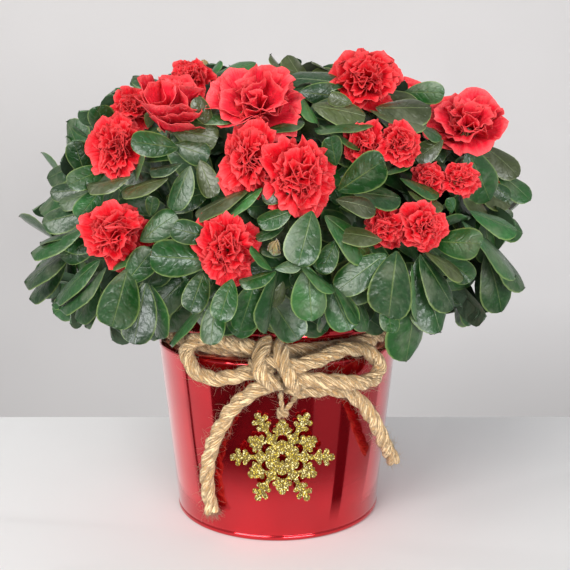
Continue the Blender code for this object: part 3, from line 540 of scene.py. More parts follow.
@shared_effect("Leaf veins", {"Vector": "Vector", "Pairs": 6.0},
               {"Midrib": "Float", "Veins": "Float", "Margin": "Float"})
def leaf_veins(tree, given):
    """A leaf's midrib, side veins and margin, from its own place attribute."""
    place = add(tree, "ShaderNodeSeparateXYZ", {0: given["Vector"]})
    across = math_node(tree, "ABSOLUTE", place.outputs[0])
    rib_width = ramp_between(tree, place.outputs[1], 0.0, 1.0, 0.09, 0.03)
    rib = math_node(tree, "SUBTRACT", 1.0, math_node(tree, "DIVIDE", across, rib_width), clamp=True)
    swept = math_node(tree, "SUBTRACT", place.outputs[1], times(tree, across, 0.28))
    wander = noise_node(tree, given["Vector"], 3.0, 2.0)
    swept = math_node(tree, "ADD", swept, times(tree, wander, 0.22))
    saw = math_node(tree, "PINGPONG", times(tree, swept, given["Pairs"]), 0.5)
    line = ramp_between(tree, saw, 0.0, 0.2, 1.0, 0.0)
    inside = ramp_between(tree, across, 0.55, 0.9, 1.0, 0.0)
    return {"Midrib": rib, "Veins": times(tree, line, inside),
            "Margin": ramp_between(tree, across, 0.88, 0.98)}


# Materials

def material(**plain):
    """Makes a function that gives the values of a Principled shader's sockets make a material. It
    is called with a name and its details, and gets the tree and the object's place before them."""
    def wrap(sockets):
        def make(name, *details):
            made = bpy.data.materials.new(name)
            made.use_nodes = True
            tree = made.node_tree
            place = add(tree, "ShaderNodeTexCoord").outputs["Object"]
            values = {label.replace("_", " "): value for label, value in plain.items()}
            values.update(sockets(tree, place, *details))
            feed(tree, tree.nodes["Principled BSDF"], values)
            return made
        return make
    return wrap


def scaled(colour, *shares, limit=1.0):
    """A colour times one share, or times a share each for red, green and blue."""
    return [min(part * share, limit) for part, share in zip(colour, shares * (3 // len(shares)))]


def attribute(tree, name, output="Vector"):
    return add(tree, "ShaderNodeAttribute", attribute_name=name).outputs[output]


@material(Metallic=0.9, Coat_Weight=0.9, Coat_Roughness=0.04)
def enamel_material(tree, place, colour):
    dull = mottle(tree, place, 45.0, 0.35, 0.75)
    shade = blend_colours(tree, dull, colour, scaled(colour, 0.86))
    shade = blend_colours(tree, mottle(tree, place, 900.0, 0.74, 0.78), shade, (0.8, 0.62, 0.6), 0.25)
    return {"Base Color": shade, "Roughness": ramp_between(tree, dull, 0.0, 1.0, 0.09, 0.15),
            "Normal": relief(tree, place, 0.0, 70.0, 1.0, 0.10, 0.0006)}


@material(Roughness=0.95, Specular_IOR_Level=0.2)
def peat_material(tree, place, colour):
    patches = mottle(tree, place, 260.0, 0.35, 0.65)
    return {"Base Color": blend_colours(tree, patches, colour, scaled(colour, 2.4)),
            "Normal": relief(tree, place, patches, 1400.0, 0.6, 0.8, 0.0008)}


@material(Roughness=0.85)
def bark_material(tree, place, colour):
    cracks = fibres(tree, place, (900.0, 900.0, 170.0), 0.38, 0.6)
    shade = blend_colours(tree, cracks, scaled(colour, 0.4), colour)
    shade = blend_colours(tree, mottle(tree, place, 120.0, 0.56, 0.7), shade, (0.20, 0.20, 0.15), 0.5)
    return {"Base Color": shade, "Normal": relief(tree, place, cracks, 1500.0, 0.3, 0.7, 0.0005)}


@material(Specular_IOR_Level=0.5, Coat_Weight=0.3, Coat_Roughness=0.32)
def leaf_material(tree, place, colour):
    """A leathery leaf: waxy patches that are less rough and carry a painted grey sheen, a pale rib and
    margin, and a paler underside.
    """
    veins = leaf_veins(tree, attribute(tree, "leaf_place"), 5.0)
    sheen_patches = mottle(tree, place, 75.0, 0.45, 0.72)
    dark, pale = scaled(colour, 0.42), (0.22, 0.30, 0.08)
    shade = blend_colours(tree, attribute(tree, "leaf_tone", "Fac"), scaled(colour, 0.6), scaled(colour, 1.4))
    shade = blend_colours(tree, mottle(tree, place, 150.0, 0.40, 0.70), shade, dark, 0.35)
    # Painted sheen: broad grey patches and fine pale speckles stand in for reflections on the waxy surface.
    shade = blend_colours(tree, sheen_patches, shade, (0.22, 0.24, 0.15), 0.22)
    shade = blend_colours(tree, mottle(tree, place, 380.0, 0.48, 0.66), shade, (0.30, 0.33, 0.22), 0.06)
    for label, tint, share in (("Veins", dark, 0.25), ("Midrib", pale, 0.34), ("Margin", pale, 0.45)):
        shade = blend_colours(tree, veins.outputs[label], shade, tint, share)
    below = attribute(tree, "leaf_below", "Fac")
    shade = blend_colours(tree, below, shade, [0.06 + part * 1.1 for part in colour])
    matt = math_node(tree, "ADD", ramp_between(tree, sheen_patches, 0.0, 1.0, 0.34, 0.50), times(tree, below, 0.3))
    height = math_node(tree, "SUBTRACT", times(tree, veins.outputs["Veins"], -0.25),
                       times(tree, veins.outputs["Midrib"], 0.8))
    return {"Base Color": shade, "Roughness": matt,
            "Normal": relief(tree, place, height, 200.0, 2.4, 0.55, 0.0008)}


@material(Specular_IOR_Level=0.12, Subsurface_Weight=0.12, Subsurface_Scale=0.003,
          Subsurface_Radius=(1.0, 0.25, 0.2))
def petal_material(tree, place, colour, edge):
    """A thin, velvety petal: deeper red towards its foot as painted shade, fine veins along it and a paler
    coral margin that is partly painted highlight.
    """
    own = attribute(tree, "petal_place")
    along = add(tree, "ShaderNodeSeparateXYZ", {0: own}).outputs[1]
    veins = fibres(tree, own, (14.0, 1.6, 40.0), 0.35, 0.7)
    # Painted shade: a deeper, darker red towards the petal's foot, deep in the bloom.
    shade = blend_colours(tree, ramp_between(tree, along, 0.0, 0.55), scaled(colour, 0.66, 0.4, 0.5), colour)
    shade = blend_colours(tree, veins, shade, edge, 0.15)
    # A coral margin: partly the petal's own paler edge, partly a painted highlight along the margin.
    shade = blend_colours(tree, ramp_between(tree, along, 0.82, 1.0, 0.0, 0.5), shade, edge)
    return {"Base Color": shade, "Roughness": ramp_between(tree, veins, 0.0, 1.0, 0.42, 0.55),
            "Normal": relief(tree, place, veins, 420.0, 1.6, 0.5, 0.0008)}


@material(Roughness=0.6, Sheen_Weight=0.5)
def bud_material(tree, place, colour):
    along = add(tree, "ShaderNodeSeparateXYZ", {0: attribute(tree, "petal_place")}).outputs[1]
    shade = blend_colours(tree, ramp_between(tree, along, 0.3, 1.0), colour, (0.24, 0.16, 0.05))
    return {"Base Color": shade, "Normal": relief(tree, place, 0.0, 1800.0, 1.0, 0.5, 0.0003)}


@material(Roughness=0.9, Sheen_Weight=0.2, Specular_IOR_Level=0.15)
def jute_material(tree, place, colour, streaks):
    """Twisted fibres: streaks along each strand in several shades of tan; the fine streaks' dark brown is
    partly painted shade in the gaps between fibres.
    """
    own = attribute(tree, "fibre_place")
    fine = fibres(tree, own, (streaks, streaks, 200.0), 0.43, 0.56)
    broad = fibres(tree, own, (streaks * 0.45, streaks * 0.45, 110.0), 0.42, 0.58)
    flecks = mottle(tree, place, 620.0, 0.62, 0.70)
    ends = mottle(tree, place, 1100.0, 0.62, 0.70)
    # Partly painted shade: the fine streaks' dark brown stands for the shade in the gaps between fibres as
    # well as for darker fibres.
    shade = blend_colours(tree, fine, scaled(colour, 0.58, 0.46, 0.33), colour)
    shade = blend_colours(tree, broad, shade, scaled(colour, 0.66, 0.54, 0.42), 0.30)
    shade = blend_colours(tree, ends, shade, (1.0, 0.88, 0.64), 0.5)
    shade = blend_colours(tree, flecks, shade, (0.12, 0.07, 0.03), 0.7)
    return {"Base Color": shade, "Normal": relief(tree, place, fine, 1300.0, 1.0, 1.0, 0.0010)}


@material()
def gold_material(tree, place, colour, roughness, metallic):
    """Gold for the plate and its glitter, each flake drawn dark or bright at random: painted shade on flakes
    turned from the light and on the plate between them, painted glints on flakes turned towards it.
    """
    tone = attribute(tree, "flake_tone", "Fac")
    specks = mottle(tree, place, 1500.0, 0.35, 0.65)
    shade = blend_colours(tree, specks, scaled(colour, 0.55), colour)
    # Painted shade on some flakes and on the plate, which has no draw; painted glints on others.
    shade = blend_colours(tree, ramp_between(tree, tone, 0.10, 0.52, 0.95, 0.0), shade, (0.09, 0.055, 0.008))
    shade = blend_colours(tree, ramp_between(tree, tone, 0.60, 0.85), shade, (1.0, 0.93, 0.50))
    return {"Base Color": shade, "Metallic": metallic,
            "Roughness": ramp_between(tree, specks, 0.0, 1.0, roughness, roughness * 1.5)}


@material()
def stage_material(tree, place, colour, roughness):
    cloud = mottle(tree, place, 3.0, 0.3, 0.7)
    return {"Base Color": blend_colours(tree, cloud, colour, scaled(colour, 0.96)), "Roughness": roughness}


@material(Roughness=1.0)
def card_material(tree, place, shade, near, full):
    """A card that fades out towards the pot."""
    distance = add(tree, "ShaderNodeVectorMath", {0: place}, operation="LENGTH")
    edge = [(POT_SHOULDER_RADIUS + start) * MM for start in (near, full)]
    return {"Base Color": (shade, shade, shade, 1.0), "Alpha": ramp_between(tree, distance, *edge)}


# Meshes and pieces

def mark(mesh, name, values, kind="FLOAT", domain="POINT"):
    """Stores a number, or three for a vector, with each point or face of a mesh."""
    layer = mesh.attributes.new(name, kind, domain)
    layer.data.foreach_set("vector" if kind == "FLOAT_VECTOR" else "value", values)


class Shape:
    """Points, faces and a place vector for each point, gathered for one mesh."""

    def __init__(self, place_name):
        self.place_name = place_name
        self.points = []
        self.faces = []
        self.places = []

    def take(self, points, faces, places=None):
        start = len(self.points)
        self.points.extend(tuple(point) for point in points)
        self.faces.extend(tuple(start + corner for corner in face) for face in faces)
        self.places.extend(tuple(place) for place in places or [(0.0, 0.0, 0.0)] * len(points))

    def mesh(self):
        made = bpy.data.meshes.new(self.place_name)
        made.from_pydata(self.points, [], self.faces)
        mark(made, self.place_name, [value for place in self.places for value in place], "FLOAT_VECTOR")
        made.shade_smooth()
        return made


def shape_mesh(place_name, points, faces, places=None):
    shape = Shape(place_name)
    shape.take(points, faces, places)
    return shape.mesh()


def ring_faces(rows, sides):
    """Faces between rows of points that each go once round."""
    faces = []
    for low in range(0, (rows - 1) * sides, sides):
        for step in range(sides):
            after = (step + 1) % sides
            faces.append((low + step, low + after, low + sides + after, low + sides + step))
    return faces


def closed_faces(rows, sides):
    """Faces of a closed form: rows of points from its foot up, then the foot's and the top's own point."""
    faces = ring_faces(rows, sides)
    foot, top, last = rows * sides, rows * sides + 1, (rows - 1) * sides
    for step in range(sides):
        after = (step + 1) % sides
        faces.extend(((foot, after, step), (top, last + step, last + after)))
    return faces


def linked(name, data):
    made = bpy.data.objects.new(name, data)
    bpy.context.scene.collection.objects.link(made)
    return made


def plain_mesh(holder):
    """An object's mesh with its modifiers applied. The object is removed."""
    depsgraph = bpy.context.evaluated_depsgraph_get()
    made = bpy.data.meshes.new_from_object(holder.evaluated_get(depsgraph), depsgraph=depsgraph)
    bpy.data.objects.remove(holder, do_unlink=True)
    return made


def piece(name, mesh, material, slot, *nodes):
    """Links a mesh as one piece of the plant, riding on its only body."""
    mesh.name = name
    if material is not None:
        mesh.materials.clear()
        mesh.materials.append(material)
    made = linked(name, mesh)
    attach(made, "root")
    if nodes:
        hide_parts(*nodes)
    return made


def grow(mesh, tree, values):
    """The plain mesh that a node tree makes of a mesh. Inputs are set by their identifiers."""
    holder = linked("holder", mesh)
    modifier = holder.modifiers.new("Grow", "NODES")
    modifier.node_group = tree
    for item in tree.interface.items_tree:
        if item.item_type == "SOCKET" and item.in_out == "INPUT" and item.name in values:
            modifier[item.identifier] = values[item.name]
    return plain_mesh(holder)


def join_meshes(meshes):
    """Joins meshes that share their attributes into the first one."""
    if len(meshes) == 1:
        return meshes[0]
    objects = [linked("part", mesh) for mesh in meshes]
    with bpy.context.temp_override(active_object=objects[0], selected_editable_objects=objects):
        bpy.ops.object.join()
    joined = objects[0].data
    bpy.data.objects.remove(objects[0], do_unlink=True)
    return joined


def grid_faces(rows, columns, start=0, flip=False):
    faces = []
    for row in range(rows - 1):
        for column in range(columns - 1):
            corner = start + row * columns + column
            face = (corner, corner + 1, corner + columns + 1, corner + columns)
            faces.append(face[::-1] if flip else face)
    return faces


def smooth_route(points, steps):
    """Points on one smooth curve through a route's own points."""
    padded = [points[0] * 2.0 - points[1], *points, points[-1] * 2.0 - points[-2]]
    route = []
    for first, start, end, last in zip(padded, padded[1:], padded[2:], padded[3:]):
        for step in range(steps):
            t = step / steps
            route.append(0.5 * (2.0 * start + (end - first) * t
                                + (2.0 * first - 5.0 * start + 4.0 * end - last) * t ** 2
                                + (3.0 * start - first - 3.0 * end + last) * t ** 3))
    route.append(points[-1].copy())
    return route


def toward(azimuth):
    """The level direction of an azimuth in degrees from the front."""
    angle = math.radians(azimuth)
    return Vector((math.sin(angle), -math.cos(angle), 0.0))


def polar(azimuth, distance, height):
    """A point in metres from its azimuth in degrees and its distance and height in mm."""
    return (toward(azimuth) * distance + UP * height) * MM


def pot_route(places, steps):
    """A smooth route through places by azimuth, distance and height."""
    return smooth_route([polar(*place) for place in places], steps)


def on_circle(radius, angle, centre=(0.0, 0.0)):
    return centre[0] + radius * math.cos(angle), centre[1] + radius * math.sin(angle)


def between(first, second, angle):
    """The direction at an angle from one axis towards another one square to it."""
    return first * math.cos(angle) + second * math.sin(angle)


def square_axes(direction):
    """Two axes square to a direction and to each other."""
    side = direction.orthogonal().normalized()
    return side, direction.cross(side)


# Pot and root ball

def rounded(corners, radius, steps=4):
    """An outline with each inner corner replaced by a curve that starts a radius away from it."""
    result = [corners[0]]
    for before, corner, after in zip(corners, corners[1:], corners[2:]):
        corner = Vector(corner)
        near, far = [corner + (end - corner).normalized() * min(radius, (end - corner).length * 0.45)
                     for end in (Vector(before), Vector(after))]
        for step in range(steps + 1):
            t = step / steps
            result.append(tuple(near * (1 - t) ** 2 + corner * 2 * t * (1 - t) + far * t ** 2))
    return [*result, corners[-1]]


def pot_outline(wall):
    """The pot's section from the middle of its floor, up the inside and down the outside, in mm."""
    foot, shoulder, neck = POT_FOOT_RADIUS, POT_SHOULDER_RADIUS, POT_NECK_RADIUS
    collar, rim, top = POT_COLLAR_RADIUS, POT_RIM_RADIUS, POT_HEIGHT
    bead, ledge, lip = POT_BEAD_HEIGHT, POT_SHOULDER_HEIGHT, POT_COLLAR_HEIGHT
    inside = [
        (0.0, wall + 1.2), (foot - wall, wall + 1.2), (shoulder - wall - 0.2, ledge - wall - 0.4),
        (neck - wall, ledge - wall + 0.2), (neck - wall, lip + wall - 0.6),
        (collar - wall - 0.4, lip + wall + 0.2), (rim - wall - 0.2, top - 0.5),
    ]
    outside = [
        (rim - wall * 0.4, top), (rim + 0.6, top - 0.9), (rim + 1.2, top - 4.6), (collar - 0.2, lip + 3.2),
        (collar, lip), (neck, lip - 0.6), (neck, ledge + 0.2), (shoulder - 2.2, ledge),
        (shoulder, ledge - 1.6), (foot + 0.5, bead + 0.5), (foot + 0.1, bead + 0.1),
        (foot + 0.8, bead - 0.6), (foot + 0.8, 0.7), (foot, 0.0), (foot - 1.6, 0.0), (foot - 2.2, 0.8),
        (0.0, 0.8),
    ]
    return rounded([*inside, *outside], 1.4)


def turned_mesh(outline, steps):
    """A closed solid of revolution. Both ends of the outline lie on the axis."""
    points = [polar(360.0 * step / steps, *place) for place in outline[1:-1] for step in range(steps)]
    points.extend((polar(0.0, *outline[0]), polar(0.0, *outline[-1])))
    return shape_mesh("turn_place", points, [face[::-1] for face in closed_faces(len(outline) - 2, steps)])


def crease_sharp(mesh, degrees):
    mesh.set_sharp_from_angle(angle=math.radians(degrees))
    return mesh


def soil_height(share):
    """The height of the peat's top, in mm, at a share of the way from its middle to its edge."""
    return SOIL_TOP - SOIL_DOMING * share ** 2


def soil_mesh():
    """The root ball: plain below, with a crumbly top that domes a little."""
    steps, rings = 96, 22
    foot = (POT_FOOT_RADIUS - SOIL_CLEARANCE, SOIL_CLEARANCE)
    shoulder = (POT_SHOULDER_RADIUS - SOIL_CLEARANCE, POT_SHOULDER_HEIGHT - 6.0)
    outline = [(0.0, SOIL_CLEARANCE), foot, shoulder, (SOIL_RADIUS, POT_SHOULDER_HEIGHT - 1.8)]
    for ring in range(rings):
        share = 1.0 - ring / rings
        outline.append((SOIL_RADIUS * share, soil_height(share)))
    outline.append((0.0, SOIL_TOP))
    mesh = turned_mesh(outline, steps)
    for corner in mesh.vertices:
        if corner.co.z > (POT_COLLAR_HEIGHT - 1.0) * MM:
            crumble = noise.fractal(corner.co * 260.0, 1.0, 2.0, 4) * 0.9 * MM
            corner.co.z += min(crumble, 0.6 * MM) - 0.4 * MM
    return mesh


# Copies of small forms

def named(tree, name, kind="FLOAT"):
    return add(tree, "GeometryNodeInputNamedAttribute", {"Name": name}, data_type=kind)


def stored(tree, geometry, name, value, kind="FLOAT"):
    return add(tree, "GeometryNodeStoreNamedAttribute", {"Geometry": geometry, "Name": name, "Value": value},
               data_type=kind, domain="POINT")


def finished(tree, given, kind, inputs):
    """The last node of a tree, then what each tree ends in: real geometry in its material."""
    real = add(tree, "GeometryNodeRealizeInstances", {"Geometry": add(tree, kind, inputs)})
    return {"Geometry": add(tree, "GeometryNodeSetMaterial", {"Geometry": real, "Material": given["Finish"]})}


@growing_tree("Placed copies", {"Forms": "Collection"})
def copies_tree(tree, given):
    """Copies of forms on points that carry each copy's facing, size, form and tone."""
    forms = add(tree, "GeometryNodeCollectionInfo",
                {"Collection": given["Forms"], "Separate Children": True, "Reset Children": True})
    turn = add(tree, "FunctionNodeEulerToRotation", {"Euler": named(tree, "facing", "FLOAT_VECTOR")})
    return finished(tree, given, "GeometryNodeInstanceOnPoints", {
        "Points": given["Geometry"], "Instance": forms, "Pick Instance": True,
        "Instance Index": named(tree, "form", "INT"), "Rotation": turn, "Scale": named(tree, "size")})


@growing_tree("Scattered copies", {"Form": "Object", "Density": 1000.0, "Least Lean": 0.0,
                                   "Most Lean": 0.6, "Smallest": 0.5, "Largest": 1.0, "Seed": 1})
def scatter_tree(tree, given):
    """Copies of one form spread at random over a surface, each leaning away from its normal."""
    spots = add(tree, "GeometryNodeDistributePointsOnFaces",
                {"Mesh": given["Geometry"], "Density": given["Density"], "Seed": given["Seed"]},
                distribute_method="RANDOM")
    low = add(tree, "ShaderNodeCombineXYZ", {"X": given["Least Lean"], "Z": -math.pi})
    high = add(tree, "ShaderNodeCombineXYZ", {"X": given["Most Lean"], "Z": math.pi})
    angles = add(tree, "FunctionNodeRandomValue", {"Min": low, "Max": high, "Seed": given["Seed"]},
                 data_type="FLOAT_VECTOR")
    tilt = add(tree, "FunctionNodeRotateRotation",
               {"Rotation": spots.outputs["Rotation"],
                "Rotate By": add(tree, "FunctionNodeEulerToRotation", {"Euler": angles})},
               rotation_space="LOCAL")
    size = add(tree, "FunctionNodeRandomValue",
               {"Min": given["Smallest"], "Max": given["Largest"], "Seed": 7})
    # A random draw for each copy, which the gold material turns into painted glints and painted shade.
    tone = add(tree, "FunctionNodeRandomValue", {"Min": 0.0, "Max": 1.0, "Seed": 21})
    toned = stored(tree, spots.outputs["Points"], "flake_tone", tone)
    form = add(tree, "GeometryNodeObjectInfo", {"Object": given["Form"]}).outputs["Geometry"]
    return finished(tree, given, "GeometryNodeInstanceOnPoints",
                    {"Points": toned, "Instance": form, "Rotation": tilt, "Scale": size})


def placed_copies(forms, entries, material):
    """One mesh of copies. An entry is a point, three axes, a size, a form and a tone."""
    shelf = bpy.data.collections.new("forms")
    for index, form in enumerate(forms):
        shelf.objects.link(bpy.data.objects.new(f"form_{index:02d}", form))
    points, axes, sizes, kinds, tones = zip(*entries)
    cloud = bpy.data.meshes.new("cloud")
    cloud.from_pydata([tuple(point) for point in points], [], [])
    facing = [angle for own in axes for angle in Matrix(own).transposed().to_euler()]
    mark(cloud, "facing", facing, "FLOAT_VECTOR")
    mark(cloud, "size", sizes)
    mark(cloud, "form", kinds, "INT")
    mark(cloud, "leaf_tone", tones)
    made = grow(cloud, copies_tree(), {"Forms": shelf, "Finish": material})
    bpy.data.batch_remove((*shelf.objects, shelf))
    return made


def scattered_copies(surface, form, material, density, leans, sizes, seed):
    """One mesh of copies spread over a surface, with their leans in radians and sizes in mm."""
    holder = bpy.data.objects.new("form", form)
    made = grow(surface, scatter_tree(), {
        "Form": holder, "Density": density, "Least Lean": leans[0], "Most Lean": leans[1],
        "Smallest": sizes[0] * MM, "Largest": sizes[1] * MM, "Seed": seed, "Finish": material})
    bpy.data.objects.remove(holder, do_unlink=True)
    return made


def crumb_form():
    """A rough crumb a unit across."""
    rings, sides = 3, 5
    points = []
    for ring in range(rings):
        angle = math.pi * (ring + 1) / (rings + 1)
        for side in range(sides):
            turn = 2.0 * math.pi * (side + 0.5 * ring) / sides
            spot = Vector((*on_circle(math.sin(angle), turn), -math.cos(angle)))
            points.append(spot * (0.42 + 0.14 * noise.noise(spot * 3.1)))
    points.extend(((0.0, 0.0, -0.5), (0.0, 0.0, 0.46)))
    return shape_mesh("turn_place", points, closed_faces(rings, sides))


def crumb_entries(count):
    rng = random.Random(CRUMB_SEED)
    entries = []
    for _ in range(count):
        distance = (SOIL_RADIUS - 2.0) * math.sqrt(rng.uniform(0.03, 1.0))
        spot = polar(rng.uniform(0.0, 360.0), distance, soil_height(distance / SOIL_RADIUS) + 0.1)
        turn = Matrix.Rotation(rng.uniform(0.0, 6.0), 3, "Z")
        entries.append((spot, turn, rng.uniform(1.2, 3.6) * MM, 0, rng.random()))
    return entries


# Growth: the rule of the solids, carried on to more shoots and real-sized leaves

def view_ray(across, down):
    """The way from the camera, in the world, to a place in the front view."""
    focus = CAMERA_LENS / CAMERA_SENSOR * VIEW_SIZE
    turn = Matrix.Rotation(math.pi / 2.0 - CAMERA_PITCH, 3, "X")
    return (turn @ Vector((across - VIEW_SIZE / 2.0, VIEW_SIZE / 2.0 - down, -focus))).normalized()


def dome_share(offset, spread, rise, drop):
    """How far out an offset from a dome's middle lies: 1 on the dome and less inside it."""
    reach = rise if offset.z > 0.0 else drop
    return (math.hypot(offset.x, offset.y) / spread) ** CROWN_POWER + (abs(offset.z) / reach) ** CROWN_POWER


def dome_depth(ray, *dome):
    """How far from the camera, in mm, a ray meets a dome or passes it most closely."""
    best, depth = math.inf, 0.0
    for distance in CROWN_DEPTHS:
        share = dome_share(CAMERA_PLACE / MM + ray * distance - CROWN_CENTRE, *dome)
        if share < best:
            best, depth = share, distance
        if share < 1.0:
            break
    return depth


def front_leaf(base_across, base_down, tip_across, tip_down, width, out, rng):
    """A leaf that shows from its base to its tip in the front view. It is rolled to show its width."""
    base_ray, tip_ray = view_ray(base_across, base_down), view_ray(tip_across, tip_down)
    near = dome_depth(base_ray, *FRONT_DOME) - out * 0.7
    seen = (tip_ray - base_ray).length * near
    broad = width / math.hypot(tip_across - base_across, tip_down - base_down) * seen
    form = rng.randrange(len(LEAF_FORMS))
    real = LEAF_FORMS[form][0]
    if broad > seen * real:
        closer = min(math.sqrt((broad / real) ** 2 - seen ** 2), seen * 0.5)
        roll = 0.15
    else:
        steepest = seen * 0.35
        closer = near - min(max(dome_depth(tip_ray, *FRONT_DOME) - out, near - steepest), near + steepest)
        roll = math.acos(broad / (seen * real))
    base = CAMERA_PLACE / MM + base_ray * near
    tip = CAMERA_PLACE / MM + tip_ray * (near - closer)
    pointing = (tip - base).normalized()
    face = (-base_ray + pointing * base_ray.dot(pointing)).normalized()
    turned = pointing.cross(face)
    upright = turned.z if abs(turned.z) > 0.35 else turned.x * base.x
    face = between(face, turned, math.copysign(roll, upright))
    return base, leaf_axes(pointing, face), (tip - base).length, form, rng.random()


def dome_point(azimuth, elevation, *dome):
    """The point of a flattened dome in a direction, in degrees, from the crown's centre."""
    direction = between(toward(azimuth), UP, math.radians(elevation))
    return CROWN_CENTRE + direction * dome_share(direction, *dome) ** (-1.0 / CROWN_POWER)


def crown_place(first, second, dome, seen):
    """A place on a dome, by where the front view shows it or by its azimuth and elevation."""
    if not seen:
        return dome_point(first, second, *dome)
    ray = view_ray(first, second)
    return CAMERA_PLACE / MM + ray * dome_depth(ray, *dome)


def growth_direction(point, lift=SHOOT_LIFT):
    """Shoots point out of the dome, and blooms a little more upwards."""
    offset = point - CROWN_CENTRE
    flat = Vector((offset.x, offset.y, 0.0))
    spread, rise, drop = SHOOT_DOME
    reach = rise if offset.z > 0.0 else drop * 2.0
    power = CROWN_POWER - 1.0
    steepness = (abs(offset.z) / reach) ** power / reach
    outward = (flat.length / spread) ** power / spread
    normal = (flat.normalized() * outward + UP * math.copysign(steepness, offset.z)).normalized()
    return (normal + UP * lift).normalized()


class Shoot(NamedTuple):
    """A leafy tip: where it ends, where it points, and the bloom on it, if any."""
    tip: Vector
    direction: Vector
    width: float = 0.0
    form: str = ""
    tall: float = 1.0
    inner: bool = False


def bloom_shoots():
    shoots = []
    for first, second, width, form, *view in (*FRONT_BLOOMS, *BACK_BLOOMS):
        centre = crown_place(first, second, BLOOM_DOME, bool(view))
        direction, tall = growth_direction(centre, BLOOM_LIFT), 1.0
        if view:
            sideways, upwards, tall = view
            ray = view_ray(first, second)
            right = ray.cross(UP).normalized()
            direction = (right * sideways + right.cross(ray) * upwards - ray).normalized()
        shoots.append(Shoot(centre - direction * width * BLOOM_SETBACK, direction, width, form, tall))
    return shoots


def in_front(tip):
    """Whether a shoot is where the leaves of the front view grow."""
    beside = abs(math.degrees(math.atan2(tip.x, -tip.y)))
    return beside < FRONT_SHOOT_ANGLE and tip.z < FRONT_SHOOT_HEIGHT


def lattice_shoots(count, scale, jitter, blooming, spacing, rng, inner):
    """Leafy shoots spread evenly over a dome, kept apart from the blooms."""
    shoots = []
    dome = [size * scale for size in SHOOT_DOME]
    for index in range(count):
        share = ((index + 0.5) / count) ** SHOOT_CROWDING
        elevation = math.degrees(math.asin(1.0 - share * (1.0 - SHOOT_LOWEST_SINE)))
        tip = dome_point(math.degrees(index * GOLDEN_ANGLE), elevation, *dome)
        tip += Vector([rng.uniform(-jitter, jitter) for _ in range(3)])
        within = inner
        if not inner and in_front(tip):
            tip, within = CROWN_CENTRE.lerp(tip, FRONT_SHOOT_SCALE), True
        if min((tip - other.tip).length for other in blooming) > spacing:
            shoots.append(Shoot(tip, growth_direction(tip), inner=within))
    return shoots


def all_shoots(settings):
    rng = random.Random(SHOOT_SEED)
    blooming = bloom_shoots()
    outer = lattice_shoots(settings.outer_shoots, 1.0, 4.0, blooming, 13.0, rng, False)
    inner = lattice_shoots(settings.inner_shoots, INNER_DOME_SCALE, 5.0, blooming, 10.0, rng, True)
    return [*blooming, *outer, *inner]


def clear_of_pot(point):
    distance = math.hypot(point.x, point.y)
    if point.z < POT_HEIGHT + 1.0 and distance < POT_KEEP_OUT_RADIUS:
        return False
    beside = abs(math.atan2(point.x, -point.y)) < BOW_KEEP_OUT_ANGLE
    lowest = SKIRT_FOOT[1] + SKIRT_SLOPE * max(distance - SKIRT_FOOT[0], 0.0)
    return point.z > (max(lowest, BOW_KEEP_OUT_HEIGHT) if beside else lowest)


def within_crown(point):
    """Whether a leaf's tip keeps within the crown's outline, which is slimmer at the lower right."""
    offset = point - CROWN_CENTRE
    spread, *reach = CROWN_REACH
    trim, height = LOW_RIGHT_TRIM
    slimmer = trim if offset.x > 0.0 and offset.z < height else 0.0
    return dome_share(offset, spread - slimmer, *reach) < 1.0


def clear_of_blooms(point, blooming):
    """Whether a point lies neither in a bloom nor in front of it."""
    for shoot in blooming:
        offset = point - shoot.tip
        along = offset.dot(shoot.direction)
        if along > -0.05 * shoot.width and (offset - shoot.direction * along).length < 0.46 * shoot.width:
            return False
    return True


def leaf_axes(pointing, face):
    """The leaf's own axes: along it, across it and out of its upper face."""
    across = face.cross(pointing).normalized()
    return (tuple(pointing), tuple(across), tuple(pointing.cross(across)))


def blade_tree(base, axes, length):
    """A leaf's flat blade without its stalk, for the test against the other leaves."""
    along, across, _ = (Vector(axis) for axis in axes)
    half = length * 0.26
    side = ((0.3, 0.7), (0.62, 1.0), (0.9, 0.6))
    corners = [base + along * length * share + across * half * wide
               for share, wide in (*side, *[(share, -wide) for share, wide in side[::-1]])]
    return BVHTree.FromPolygons(corners, [tuple(range(len(corners)))])


def blade_middle(base, axes, length):
    return base + Vector(axes[0]) * length * 0.65


class Neighbours:
    """Blades by the cell that their middle lies in."""

    def __init__(self, cell):
        self.cell = cell
        self.cells = {}

    def key(self, point):
        return tuple(int(value // self.cell) for value in point)

    def near(self, point):
        x, y, z = self.key(point)
        for step in range(27):
            yield from self.cells.get((x + step % 3 - 1, y + step // 3 % 3 - 1, z + step // 9 - 1), ())

    def keep(self, point, blade):
        self.cells.setdefault(self.key(point), []).append(blade)


def takes_room(base, axes, length, blooming, neighbours):
    """Whether a leaf keeps clear of the pot, the blooms and the other leaves. It then joins them."""
    tested = [base + Vector(axes[0]) * length * share for share in (0.35, 0.65, 1.0)]
    sideways = Vector(axes[1]) * length * 0.24
    tested.extend((tested[1] + sideways, tested[1] - sideways))
    if not (within_crown(tested[2]) and all(clear_of_pot(point) and clear_of_blooms(point, blooming)
                                            for point in tested)):
        return False
    blade = blade_tree(base, axes, length)
    if any(blade.overlap(near) for near in neighbours.near(tested[1])):
        return False
    neighbours.keep(tested[1], blade)
    return True


